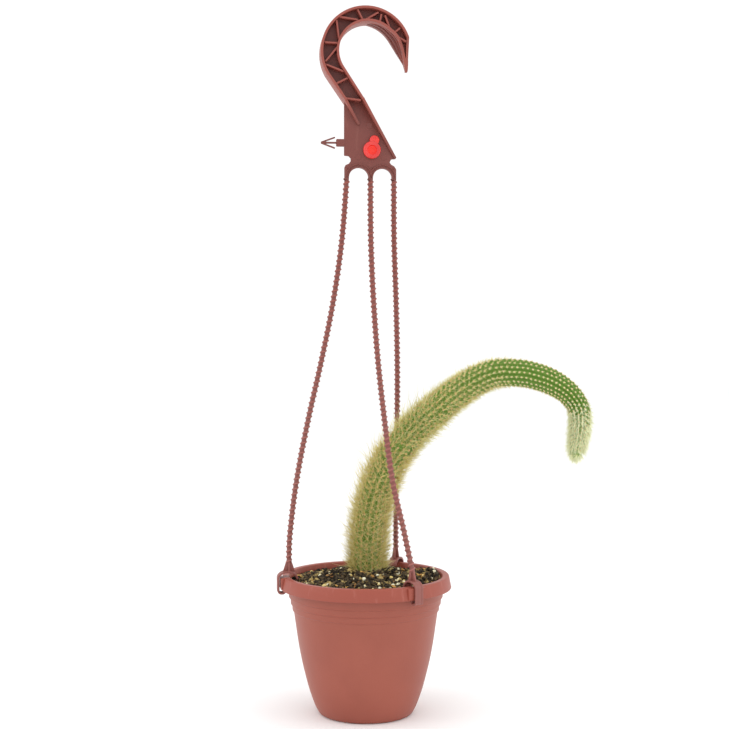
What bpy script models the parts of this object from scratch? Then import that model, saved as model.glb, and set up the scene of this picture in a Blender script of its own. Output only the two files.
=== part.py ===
"""Potted monkey tail cactus in a hanging pot: each piece at real size, in metres, +Z up.

The origin is where the hook bears on its rail, right above the pot's axis.
+X runs to the viewer's right and +Y away from the viewer.
"""

import math
import random

import bmesh
import bpy
from mathutils import Matrix, Vector

MM = 0.001
GAP = 0.3 * MM

# Hanging pot: heights are above its base.
RIM_Z = -408.4 * MM
POT_HEIGHT = 102.2 * MM
BASE_Z = RIM_Z - POT_HEIGHT
POT_WALL = 1.4 * MM
FLOOR = 1.6 * MM
RIM_OUTER = 61.9 * MM
RIM_INNER = 57.0 * MM
SKIRT_OUTER = 63.5 * MM
SKIRT_HEIGHT = 9.4 * MM
SKIRT_WALL = 1.3 * MM
NECK = 57.3 * MM
RING_STEPS = ((86.1, 55.8), (80.9, 54.5), (76.4, 53.5))
BODY_STATIONS = (
    (62.7, 51.6), (50.8, 49.8), (38.9, 47.5), (27.0, 44.6), (15.2, 41.2), (6.2, 37.9), (1.6, 35.6),
)
FOOT_RADIUS = 33.4 * MM
POT_SIDES = 36
DRAIN_HOLES = 4
DRAIN_RADIUS = 3.5 * MM
DRAIN_CIRCLE = 20 * MM
PAD_WIDTH = 15 * MM
PAD_HEIGHT = 8 * MM
PAD_FACE = 63.9 * MM
PAD_ROOT = 61.4 * MM

# Clips: radii from the pot's axis, heights above the rim's top.
CLIP_ANGLES = {"left": 189, "front": -55, "rear": 66}
STRAP_WIDTH = 6.8 * MM
STRAP_THICKNESS = 1.5 * MM
CLIP_PATH = (
    (60.3, -8.3), (60.6, -9.8), (61.8, -10.45), (63.8, -10.45), (65.0, -9.8),
    (65.35, -8.4), (65.35, -0.5), (64.5, 1.3), (62.4, 2.75), (60.2, 3.4),
    (57.6, 3.5), (55.0, 3.0), (53.0, 1.7), (51.7, -0.4), (51.3, -1.9),
)
GUSSET_RADIUS = 57.4 * MM
GUSSET_TOP = 12.2 * MM
GUSSET_FOOT = 3.5 * MM
GUSSET_HALF_RADIAL = 4.6 * MM
GUSSET_HALF_TANGENT = 3.1 * MM
FIN = 1.4 * MM

# Strands: routes in the world, from the plate down to the clips.
STRAND_RADIUS = 1.7 * MM
STRAND_POINTS = 28
STRAND_ROUTES = {
    "left": (
        (-14.2, -1.5, -116.1), (-17.7, -2.2, -160.5), (-24.0, -3.2, -205.1), (-32.8, -4.6, -249.5),
        (-42.7, -6.3, -293.8), (-51.1, -7.9, -337.9), (-55.9, -8.8, -376.5), (-56.7, -9.0, -395.8),
    ),
    "front": (
        (3.5, 0.4, -116.1), (3.8, -4.5, -160.7), (5.7, -10.4, -205.2), (8.9, -17.8, -249.1),
        (13.6, -25.3, -292.3), (19.2, -34.2, -334.8), (26.9, -42.3, -369.0), (32.6, -47.0, -395.8),
    ),
    "rear": (
        (20.8, 2.2, -116.1), (21.1, 7.4, -160.1), (22.7, 14.1, -204.9), (23.8, 22.3, -250.3),
        (23.9, 31.2, -296.4), (23.3, 40.8, -343.5), (23.3, 49.0, -380.5), (23.4, 52.4, -395.8),
    ),
}

# Hook and plate, in the moulding's own plane: x to the right, z up, y through its depth.
HOOK_YAW = 6
HOOK_HALF_DEPTH = 9 * MM
FLANGE = 1.8 * MM
WEB_HALF = 1.0 * MM
PLATE_HALF = 1.2 * MM
OUTER_CENTRE = (-0.43, -22.15)
OUTER_RADIUS = 33.54
INNER_CENTRE = (1.25, -21.69)
INNER_RADIUS = 21.7
SHANK_ANGLE = 210
BEAK_CORNER_ANGLE = 19
BEAK_THROAT_ANGLE = 52
BEAK_THROAT = ((28.9, -33.7), (26.9, -24.6), (24.8, -17.3), (22.3, -11.9), (19.0, -8.1))
BEAK_TIP = (30.9, -35.7)
BEAK_WEDGE = ((31.2, -27.5), (31.0, -34.9), (30.6, -36.0), (30.1, -35.8), (28.9, -33.7), (27.6, -27.5))
BEAK_TAPER_TOP = -12.5 * MM
BEAK_TAPER_END = 0.2
BEAK_LEFT = 10 * MM
# The bearing side of the hook is fuller in its rear half: its line from the top of the bight to the tip.
LIP_PATH = (
    (1.0, -0.1), (5.6, -1.5), (10.1, -3.9), (14.1, -7.2), (17.7, -11.7), (20.3, -16.2), (23.0, -21.1),
    (25.8, -25.8), (28.4, -30.6),
)
LIP_HALF = 0.55
SHANK_FOOT_OUTER = (-16.0, -58.5)
SHANK_FOOT_INNER = (-2.0, -56.5)
FREE_RIB = ((-16.0, -57.1), (-5.4, -75.1))
EDGE_RIB = ((-3.4, -55.7), (21.9, -99.7))
HOOK_RIBS = (
    (-15.6, -56.7, -4.5, -57.9), (-22.4, -46.0, -14.0, -41.7), (-30.0, -32.2, -17.0, -37.1),
    (-30.5, -30.0, -21.9, -19.5), (-31.1, -16.0, -21.4, -16.4), (-22.4, 0.5, -20.5, -13.3),
    (-20.5, 2.9, -6.7, 0.9), (-6.9, 8.6, -3.2, 1.3), (8.6, 6.8, -1.0, 1.1), (10.8, 5.6, 9.6, -0.4),
    (13.5, 4.6, 16.8, -4.7), (24.6, -4.4, 20.2, -8.1), (21.9, -10.3, 29.2, -14.3),
)
HOOK_RIB_WIDTH = 1.3 * MM
HOOK_RIB_HALF_DEPTH = 8.2 * MM
STRAND_ROOTS = (-14.3, 3.5, 20.95)
ROOT_Z = -115.7
ARCHES = ((-5.4, -114.1, 7.2), (12.25, -114.3, 7.0))
ARCH_BEAD = 2.2
LEFT_NOTCH = (
    (-16.2, -97.9), (-12.8, -98.3), (-11.3, -100.0), (-11.3, -101.9), (-12.7, -103.8), (-15.2, -104.9),
)
RIGHT_NOTCH = ((21.2, -105.5), (18.7, -104.1), (17.7, -102.4), (18.9, -100.3))
PLATE_TOP = ((22.3, -100.0), (-2.6, -56.7), (-14.5, -55.5), (-16.2, -58.7))
PLATE_SHOULDERS = -106.9
TAG_Z = -88.5
TAG_TIP_X = -33.9
TAG_BARB_X = -22.9
TAG_BARB_RISE = 4.0

# Red plug in the plate, in the plate's own plane.
PLUG_CENTRE = (4.3, -93.7)
PLUG_HEAD = 6.5 * MM
PLUG_THICKNESS = 2.4 * MM
PLUG_RECESS = 3.4 * MM
PLUG_RECESS_DEPTH = 1.5 * MM
PLUG_HOLE = 4.3 * MM
PLUG_BARB = 5.3 * MM
LOBE_CENTRE = (6.2, -86.5)
LOBE_RADIUS = 3.6 * MM

# Cactus stem: centre line in the world, with the body's radius without spines.
STEM_LINE = (
    (1.7, 14.9, -405.7, 10.9), (1.7, 14.1, -389.3, 10.9), (3.9, 11.9, -367.1, 10.8),
    (8.8, 8.9, -345.8, 10.7), (19.2, 5.2, -322.5, 10.5), (29.6, 3.0, -308.2, 10.3),
    (41.4, 0.7, -295.3, 10.2), (52.3, -0.7, -286.0, 10.1), (63.9, -1.5, -276.0, 10.0),
    (80.1, -3.0, -265.1, 10.0), (94.9, -3.7, -259.1, 9.9), (108.1, -4.5, -258.4, 9.8),
    (121.3, -5.2, -259.9, 9.7), (136.4, -5.9, -264.9, 9.3), (149.1, -6.7, -273.2, 8.3),
    (156.6, -6.7, -283.6, 7.8), (158.1, -6.7, -294.6, 7.1), (157.1, -6.7, -305.5, 6.3),
    (155.9, -6.7, -312.5, 5.4), (155.2, -6.7, -317.1, 4.4),
)
RIBS = 17
RIB_DEPTH = 1.3 * MM
STEM_RINGS = 44
BURIED_RADIUS = 9.4 * MM
BURIED_DEPTH = 30 * MM
NEEDLE_RADIUS = 0.55 * MM
NEEDLE_ROOT = 1.6 * MM
# Each stretch: share of the stem where it starts and where it ends, needles per rib,
# shortest and longest needle, and how far they lean towards the tip.
NEEDLE_STRETCHES = (
    (0.03, 0.31, 8, 6.0, 9.5, 0.75),
    (0.31, 0.60, 8, 4.5, 7.5, 0.60),
    (0.62, 0.83, 4, 0.7, 1.2, 0.10),
    (0.845, 0.99, 5, 4.0, 7.0, 1.10),
)
LONG_SIDE_EXTRA = 4.5 * MM
STRAND_CLEARANCE = 2.6 * MM

# Potting mix: heights of its surface are above the rim's top.
MIX_SIDES = 28
MIX_RINGS = 7
MIX_TOP_RADIUS = 55.6 * MM
MIX_EDGE_LEVEL = -5.0 * MM
MIX_MOUND = 6.3 * MM
MIX_MOUND_WIDTH = 30 * MM
MIX_LUMP = 0.8 * MM
MIX_AT_STEM = RIM_Z + MIX_EDGE_LEVEL + MIX_MOUND


def clear_scene():
    for obj in list(bpy.data.objects):
        bpy.data.objects.remove(obj)


def material(name, colour, roughness):
    made = bpy.data.materials.new(name)
    made.use_nodes = True
    shader = made.node_tree.nodes["Principled BSDF"]
    shader.inputs["Base Color"].default_value = (*colour, 1)
    shader.inputs["Roughness"].default_value = roughness
    return made


def add_object(name, mesh, surface=None):
    obj = bpy.data.objects.new(name, mesh)
    bpy.context.scene.collection.objects.link(obj)
    if surface:
        mesh.materials.clear()
        mesh.materials.append(surface)
    return obj


def mesh_from(name, points, faces):
    mesh = bpy.data.meshes.new(name)
    mesh.from_pydata([tuple(point) for point in points], [], faces)
    shape = bmesh.new()
    shape.from_mesh(mesh)
    bmesh.ops.recalc_face_normals(shape, faces=shape.faces)
    shape.to_mesh(mesh)
    shape.free()
    return mesh


def bridged(name, loops):
    """A closed skin over loops of equal length, its first and last loop closed by a fan to their middle."""
    count = len(loops[0])
    points = [point for loop in loops for point in loop]
    faces = []
    for row in range(len(loops) - 1):
        for column in range(count):
            after = (column + 1) % count
            low = row * count
            faces.append((low + column, low + after, low + count + after, low + count + column))
    for loop, start in ((loops[0], 0), (loops[-1], (len(loops) - 1) * count)):
        middle = sum((Vector(point) for point in loop), Vector()) / count
        points.append(middle)
        for column in range(count):
            faces.append((start + column, start + (column + 1) % count, len(points) - 1))
    return mesh_from(name, points, faces)


def slab(name, outline, near, far, to_world=lambda x, y, z: (x, y, z)):
    """An outline in x and z, in millimetres, made solid from y = near to y = far, in metres."""
    count = len(outline)
    points = [to_world(x * MM, y, z * MM) for y in (near, far) for x, z in outline]
    faces = [tuple(range(count)), tuple(range(2 * count - 1, count - 1, -1))]
    for index in range(count):
        after = (index + 1) % count
        faces.append((index, index + count, after + count, after))
    return mesh_from(name, points, faces)


def tapered_bar(name, start, end, width, start_depths, end_depths):
    """A straight bar from start to end in the x z plane, whose depth along y changes on the way."""
    along = Vector((end[0] - start[0], 0, end[1] - start[1])).normalized()
    side = Vector((-along.z, 0, along.x)) * width / 2
    corners = []
    for (x, z), (near, far) in ((start, start_depths), (end, end_depths)):
        centre = Vector((x * MM, 0, z * MM))
        for offset, y in ((-side, near), (side, near), (side, far), (-side, far)):
            corners.append(centre + offset + Vector((0, y, 0)))
    return bridged(name, [corners[:4], corners[4:]])


def turned(name, profile, sides, surface):
    """A solid turned about Z from a profile that runs up its inner side and back down its outer side."""
    mesh = bpy.data.meshes.new(name)
    edges = [(index, index + 1) for index in range(len(profile) - 1)]
    mesh.from_pydata([(radius, 0, z) for radius, z in profile], edges, [])
    obj = add_object(name, mesh, surface)
    screw = obj.modifiers.new("turned", "SCREW")
    screw.steps = sides
    screw.render_steps = sides
    screw.use_merge_vertices = True
    screw.merge_threshold = 0.00002
    apply_modifiers(obj)
    shape = bmesh.new()
    shape.from_mesh(obj.data)
    bmesh.ops.recalc_face_normals(shape, faces=shape.faces)
    shape.to_mesh(obj.data)
    shape.free()
    return obj


def apply_modifiers(obj):
    graph = bpy.context.evaluated_depsgraph_get()
    mesh = bpy.data.meshes.new_from_object(obj.evaluated_get(graph))
    obj.modifiers.clear()
    obj.data = mesh


def combine(obj, meshes, operation="UNION", solver="EXACT"):
    """Joins meshes to the object, or cuts them from it, and leaves nothing of them in the scene."""
    helpers = bpy.data.collections.new(obj.name + "_helpers")
    bpy.context.scene.collection.children.link(helpers)
    for mesh in meshes:
        helpers.objects.link(bpy.data.objects.new(mesh.name, mesh))
    boolean = obj.modifiers.new("combined", "BOOLEAN")
    boolean.operation = operation
    boolean.operand_type = "COLLECTION"
    boolean.collection = helpers
    boolean.solver = solver
    apply_modifiers(obj)
    for helper in list(helpers.objects):
        bpy.data.objects.remove(helper)
    bpy.data.collections.remove(helpers)


def shade(obj, degrees=40):
    obj.data.shade_smooth()
    obj.data.set_sharp_from_angle(angle=math.radians(degrees))


def disc_mesh(name, centre, axis, radius, length, sides=24):
    """A cylinder mesh centred on a point."""
    mesh = bpy.data.meshes.new(name)
    shape = bmesh.new()
    turn = Vector((0, 0, 1)).rotation_difference(Vector(axis)).to_matrix().to_4x4()
    bmesh.ops.create_cone(
        shape, cap_ends=True, segments=sides, radius1=radius, radius2=radius, depth=length,
        matrix=Matrix.Translation(Vector(centre)) @ turn,
    )
    shape.to_mesh(mesh)
    shape.free()
    return mesh


def smooth_point(points, position):
    """A point on the Catmull-Rom curve through the given points; position runs from 0 to the last index."""
    last = len(points) - 1
    index = min(int(position), last - 1)
    t = position - index
    before = points[max(index - 1, 0)]
    start = points[index]
    end = points[index + 1]
    after = points[min(index + 2, last)]
    found = []
    for a, b, c, d in zip(before, start, end, after):
        squared = 2 * a - 5 * b + 4 * c - d
        cubed = 3 * b - a - 3 * c + d
        found.append(0.5 * (2 * b + (c - a) * t + squared * t**2 + cubed * t**3))
    return found


def resample(points, count):
    """Points at equal spacing along the smooth curve through the given points."""
    fine = [smooth_point(points, i * (len(points) - 1) / 400) for i in range(401)]
    length = [0.0]
    for a, b in zip(fine, fine[1:]):
        length.append(length[-1] + (Vector(b[:3]) - Vector(a[:3])).length)
    found = []
    index = 0
    for step in range(count):
        target = length[-1] * step / (count - 1)
        while index < 399 and length[index + 1] < target:
            index += 1
        share = (target - length[index]) / (length[index + 1] - length[index])
        found.append([a + (b - a) * share for a, b in zip(fine[index], fine[index + 1])])
    return found


def offset_path(path, distance):
    """The path moved sideways, to its left for a positive distance."""
    moved = []
    for index, (x, z) in enumerate(path):
        before = path[max(index - 1, 0)]
        after = path[min(index + 1, len(path) - 1)]
        run = Vector((after[0] - before[0], after[1] - before[1])).normalized()
        moved.append((x - run.y * distance, z + run.x * distance))
    return moved


def strip(path, left, right):
    """The closed outline of a strip that follows a path, from its left offset to its right offset."""
    return offset_path(path, left) + offset_path(path, -right)[::-1]


def arc(centre, radius, start, end, count):
    """Points on an arc, from one angle to the other, in degrees."""
    found = []
    for step in range(count + 1):
        angle = math.radians(start + (end - start) * step / count)
        found.append((centre[0] + radius * math.cos(angle), centre[1] + radius * math.sin(angle)))
    return found


def body_outline():
    """The pot's outer wall below the neck, as radius and height above its base."""
    found = []
    radius = NECK
    for height, below in RING_STEPS:
        found.append((radius - 0.1 * MM, height * MM + 0.3 * MM))
        radius = below * MM
        found.append((radius, height * MM - 0.3 * MM))
    found.extend((radius * MM, height * MM) for height, radius in BODY_STATIONS)
    return found


def wall_radius(height):
    """The radius of the pot's inner wall at a height above its base."""
    stations = [(NECK, POT_HEIGHT), *body_outline(), (FOOT_RADIUS, 0)]
    for (upper, top), (lower, bottom) in zip(stations, stations[1:]):
        if height >= bottom:
            return lower + (upper - lower) * (height - bottom) / (top - bottom) - POT_WALL
    return FOOT_RADIUS - POT_WALL


def make_pot():
    """The pot is one moulding: tapered body, stepped rings, and a rim folded out and down into a skirt."""
    under_skirt = POT_HEIGHT - SKIRT_HEIGHT
    inner = [(0, FLOOR), (FOOT_RADIUS - POT_WALL, FLOOR)]
    for height in (6.2, 15.2, 27.0, 38.9, 50.8, 62.7, 76.0):
        inner.append((wall_radius(height * MM), height * MM))
    inner.append((NECK - POT_WALL, 86.4 * MM))
    inner.append((NECK - POT_WALL, 98.6 * MM))
    rim = [
        (RIM_INNER, POT_HEIGHT - 0.9 * MM), (RIM_INNER + 0.9 * MM, POT_HEIGHT),
        (RIM_OUTER - 1.0 * MM, POT_HEIGHT), (RIM_OUTER, POT_HEIGHT - 1.0 * MM),
        (SKIRT_OUTER, under_skirt + 0.7 * MM), (SKIRT_OUTER - 0.5 * MM, under_skirt),
        (SKIRT_OUTER - SKIRT_WALL, under_skirt), (RIM_OUTER - SKIRT_WALL, POT_HEIGHT - 1.5 * MM),
        (NECK + 0.6 * MM, POT_HEIGHT - 1.5 * MM), (NECK, POT_HEIGHT - 3.2 * MM),
    ]
    outer = [*body_outline(), (FOOT_RADIUS, 0), (0, 0)]
    profile = [(r, z + BASE_Z) for r, z in inner + rim + outer]
    pot = turned("pot", profile, POT_SIDES, material("pot_plastic", (0.41, 0.15, 0.105), 0.42))
    pads = []
    for name, angle in CLIP_ANGLES.items():
        turn = Matrix.Rotation(math.radians(angle), 4, "Z")
        half = PAD_WIDTH / 2 / MM
        low = (RIM_Z - SKIRT_HEIGHT + 0.8 * MM) / MM
        outline = ((-half, low), (half, low), (half, low + PAD_HEIGHT / MM), (-half, low + PAD_HEIGHT / MM))
        pad = slab("pad_" + name, outline, PAD_ROOT, PAD_FACE, lambda x, y, z: (y, -x, z))
        pad.transform(turn)
        pads.append(pad)
    combine(pot, pads)
    holes = []
    for index in range(DRAIN_HOLES):
        angle = math.tau * (index + 0.5) / DRAIN_HOLES
        centre = (DRAIN_CIRCLE * math.cos(angle), DRAIN_CIRCLE * math.sin(angle), BASE_Z + FLOOR / 2)
        holes.append(disc_mesh("drain", centre, (0, 0, 1), DRAIN_RADIUS, 3 * FLOOR, 16))
    combine(pot, holes, "DIFFERENCE")
    shade(pot)


def mix_level(x, y, rng):
    """The mix's height above the rim's top: a mound at the stem, low at the back, heaped at the right."""
    stem_x, stem_y = STEM_LINE[0][0] * MM, STEM_LINE[0][1] * MM
    from_stem = math.hypot(x - stem_x, y - stem_y)
    radius = math.hypot(x, y)
    angle = math.atan2(y, x)
    level = MIX_EDGE_LEVEL + MIX_MOUND * math.exp(-((from_stem / MIX_MOUND_WIDTH) ** 2))
    outward = min(radius / MIX_TOP_RADIUS, 1) ** 3
    level -= 3.2 * MM * outward * max(math.sin(angle), 0)
    level += 6.5 * MM * outward * math.exp(-(((angle - 0.35) / 0.3) ** 2))
    flat = min(max((from_stem - 12 * MM) / (10 * MM), 0), 1)
    return level + flat * MIX_LUMP * rng.uniform(-1, 1)


def make_potting_mix():
    """The potting mix fills the pot and has a plain hole for the stem."""
    rng = random.Random(5)
    hole_radius = BURIED_RADIUS + GAP
    hole = Vector((STEM_LINE[0][0], STEM_LINE[0][1], 0)) * MM
    ring = []
    for side in range(MIX_SIDES):
        angle = math.tau * side / MIX_SIDES
        ring.append(Vector((math.cos(angle), math.sin(angle), 0)))
    hole_floor = MIX_AT_STEM - BURIED_DEPTH - GAP
    loops = [[hole + way * hole_radius + Vector((0, 0, hole_floor)) for way in ring]]
    for step in range(MIX_RINGS + 1):
        share = step / MIX_RINGS
        loop = []
        for way in ring:
            point = (hole + way * hole_radius).lerp(way * MIX_TOP_RADIUS, share)
            point.z = RIM_Z + mix_level(point.x, point.y, rng)
            loop.append(point)
        loops.append(loop)
    for height in (86.4, 75.5, 50.8, 27.0, 6.2):
        radius = wall_radius(height * MM) - 2 * GAP
        loops.append([way * radius + Vector((0, 0, BASE_Z + height * MM)) for way in ring])
    foot = FOOT_RADIUS - POT_WALL - 2 * GAP
    loops.append([way * foot + Vector((0, 0, BASE_Z + FLOOR + GAP)) for way in ring])
    mesh = bridged("potting_mix", loops)
    shade(add_object("potting_mix", mesh, material("potting_mix", (0.035, 0.028, 0.022), 0.95)), 60)


def stem_stations():
    """Rings along the stem: centre, radius, and the two directions that span each ring."""
    line = resample([(x * MM, y * MM, z * MM, radius * MM) for x, y, z, radius in STEM_LINE], STEM_RINGS)
    stations = []
    for index, (x, y, z, radius) in enumerate(line):
        before = Vector(line[max(index - 1, 0)][:3])
        after = Vector(line[min(index + 1, len(line) - 1)][:3])
        along = (after - before).normalized()
        across = along.cross(Vector((0, 1, 0))).normalized()
        stations.append((Vector((x, y, z)), radius, along, across, along.cross(across)))
    return stations


def needle_mesh(root, way, length):
    """A three-sided needle from a sunk root to a fine point."""
    side = way.orthogonal().normalized()
    other = way.cross(side)
    base = root - way * NEEDLE_ROOT
    points = []
    for step in range(3):
        angle = math.tau * step / 3
        points.append(base + (side * math.cos(angle) + other * math.sin(angle)) * NEEDLE_RADIUS)
    points.append(root + way * length)
    return mesh_from("needle", points, [(0, 1, 2), (0, 1, 3), (1, 2, 3), (2, 0, 3)])


def clear_of_strands(root, tip, routes):
    for route in routes:
        for point in route:
            for share in (0, 0.5, 1):
                if (root.lerp(tip, share) - point).length < STRAND_RADIUS + STRAND_CLEARANCE:
                    return False
    return True


def needles(stations):
    """Needles on the crest of every rib, staggered from rib to rib, leaning towards the stem's tip."""
    rng = random.Random(11)
    routes = []
    for points in STRAND_ROUTES.values():
        routes.append([Vector(point) * MM for point in resample(points, 120)])
    made = []
    for start, end, per_rib, shortest, longest, lean in NEEDLE_STRETCHES:
        for rib in range(RIBS):
            angle = math.tau * rib / RIBS
            for step in range(per_rib):
                share = start + (end - start) * (step + 0.25 + 0.5 * (rib % 2)) / per_rib
                place = share * (len(stations) - 1)
                index = min(int(place), len(stations) - 2)
                low, high = stations[index], stations[index + 1]
                centre, along, across, up = (low[k].lerp(high[k], place - index) for k in (0, 2, 3, 4))
                radius = low[1] + (high[1] - low[1]) * (place - index)
                out = across * math.cos(angle) + up * math.sin(angle)
                sideways = along.cross(out)
                way = out + along * lean * rng.uniform(0.6, 1.2) + sideways * rng.uniform(-0.35, 0.35)
                way.normalize()
                length = rng.uniform(shortest, longest) * MM
                if share < 0.2 and way.x < -0.3:
                    length += LONG_SIDE_EXTRA * rng.random()
                root = centre + out * (radius - 0.2 * MM)
                if clear_of_strands(root, root + way * length, routes):
                    made.append(needle_mesh(root, way, length))
    return made


def make_cactus_stem():
    """The stem: ribs by formula from soil to tip, a plain buried foot, and needles joined into it."""
    stations = stem_stations()
    sides = 2 * RIBS
    loops = []
    foot, _, _, first_across, _ = stations[0]
    heading = math.atan2(first_across.y, first_across.x)
    buried = (
        (BURIED_DEPTH, 0.6 * BURIED_RADIUS), (0.75 * BURIED_DEPTH, BURIED_RADIUS), (-2 * GAP, BURIED_RADIUS),
    )
    for depth, radius in buried:
        middle = Vector((foot.x, foot.y, MIX_AT_STEM - depth))
        ring = []
        for side in range(sides):
            angle = heading + math.tau * side / sides
            ring.append(middle + Vector((math.cos(angle), math.sin(angle), 0)) * radius)
        loops.append(ring)
    for centre, radius, along, across, up in stations:
        ring = []
        depth = RIB_DEPTH * min(radius / (8 * MM), 1)
        for side in range(sides):
            angle = math.tau * side / sides
            reach = radius - depth * (side % 2)
            ring.append(centre + (across * math.cos(angle) + up * math.sin(angle)) * reach)
        loops.append(ring)
    centre, radius, along, across, up = stations[-1]
    for forward, share in ((0.45, 0.85), (0.8, 0.5)):
        ring = []
        for side in range(sides):
            angle = math.tau * side / sides
            out = across * math.cos(angle) + up * math.sin(angle)
            ring.append(centre + along * radius * forward + out * radius * share)
        loops.append(ring)
    skin = material("cactus_skin", (0.16, 0.26, 0.06), 0.6)
    stem = add_object("cactus_stem", bridged("cactus_stem", loops), skin)
    combine(stem, needles(stations), solver="MANIFOLD")
    shade(stem, 60)


def make_strands(plastic):
    """Three moulded strands, held at the plate above and at a clip below."""
    for name, points in STRAND_ROUTES.items():
        curve = bpy.data.curves.new("strand_" + name, "CURVE")
        curve.dimensions = "3D"
        curve.bevel_depth = STRAND_RADIUS
        curve.bevel_resolution = 2
        curve.use_fill_caps = True
        spline = curve.splines.new("POLY")
        spline.points.add(STRAND_POINTS - 1)
        for target, point in zip(spline.points, resample(points, STRAND_POINTS)):
            target.co = (*(Vector(point) * MM), 1)
        curve.materials.append(plastic)
        obj = bpy.data.objects.new("strand_" + name, curve)
        bpy.context.scene.collection.objects.link(obj)


def across(x, y, z):
    """Turns a slab's outline so that it spans y, and its thickness runs along x."""
    return y, x, z


def make_clips(plastic):
    """Each clip saddles the rim: strap, hooked foot under the skirt, and crossed fins up to its strand."""
    half = STRAP_WIDTH / 2
    thickness = STRAP_THICKNESS / MM / 2
    middle = GUSSET_RADIUS / MM
    top = GUSSET_TOP / MM
    foot = GUSSET_FOOT / MM
    core = STRAND_RADIUS / MM
    for name, angle in CLIP_ANGLES.items():
        saddle = slab("clip_" + name, strip(CLIP_PATH, thickness, thickness), -half, half)
        clip = add_object("clip_" + name, saddle, plastic)
        wide = GUSSET_HALF_RADIAL / MM
        radial = ((middle - core, top), (middle + core, top), (middle + wide, foot), (middle - wide, foot))
        tall = GUSSET_HALF_TANGENT / MM
        tangent = ((-core, top - 0.4), (core, top - 0.4), (tall, foot + 0.2), (-tall, foot + 0.2))
        cap = (
            (middle - core - 0.05, top - 1.6), (middle + core + 0.05, top - 1.6),
            (middle + core + 0.05, top + 0.05), (middle - core - 0.05, top + 0.05),
        )
        meshes = [
            slab("fin_radial", radial, -FIN / 2, FIN / 2),
            slab("fin_tangent", tangent, GUSSET_RADIUS - FIN / 2, GUSSET_RADIUS + FIN / 2, across),
            slab("cap", cap, -STRAND_RADIUS, STRAND_RADIUS),
        ]
        combine(clip, meshes)
        clip.location = (0, 0, RIM_Z)
        clip.rotation_euler = (0, 0, math.radians(angle))
        shade(clip, 35)


def hook_paths():
    """The hook's outer and inner outlines, from the beak's tip round to the shank."""
    outer = arc(OUTER_CENTRE, OUTER_RADIUS, BEAK_CORNER_ANGLE, SHANK_ANGLE, 22)
    inner = arc(INNER_CENTRE, INNER_RADIUS, BEAK_THROAT_ANGLE, SHANK_ANGLE, 18)
    return [BEAK_TIP, *outer, SHANK_FOOT_OUTER], [*BEAK_THROAT, *inner, SHANK_FOOT_INNER]


def plate_outline():
    """The plate below the shank, with its side notches, two arches and three strand roots."""
    (left_x, left_z, left_r), (right_x, right_z, right_r) = ARCHES
    half = STRAND_RADIUS / MM
    first, second, third = STRAND_ROOTS
    return [
        *PLATE_TOP, *LEFT_NOTCH, (first - half, PLATE_SHOULDERS), (first - half, ROOT_Z),
        (left_x - left_r, ROOT_Z), *arc((left_x, left_z), left_r, 180, 0, 12),
        (left_x + left_r, ROOT_Z), (right_x - right_r, ROOT_Z),
        *arc((right_x, right_z), right_r, 180, 0, 12), (right_x + right_r, ROOT_Z),
        (third + half, ROOT_Z), (third + half, PLATE_SHOULDERS - 1), *RIGHT_NOTCH,
    ]


def taper_beak(hook):
    """Below its shoulder the beak also narrows in depth, so that it ends in a point."""
    shape = bmesh.new()
    shape.from_mesh(hook.data)
    everything = [*shape.verts, *shape.edges, *shape.faces]
    bmesh.ops.bisect_plane(shape, geom=everything, plane_co=(0, 0, BEAK_TAPER_TOP), plane_no=(0, 0, 1))
    bmesh.ops.triangulate(shape, faces=shape.faces)
    tip = BEAK_TIP[1] * MM
    for vertex in shape.verts:
        x, _, z = vertex.co
        if x > BEAK_LEFT and 1.1 * tip < z < BEAK_TAPER_TOP:
            down = min((BEAK_TAPER_TOP - z) / (BEAK_TAPER_TOP - tip), 1)
            vertex.co.y *= 1 - (1 - BEAK_TAPER_END) * down
    shape.to_mesh(hook.data)
    shape.free()


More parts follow.
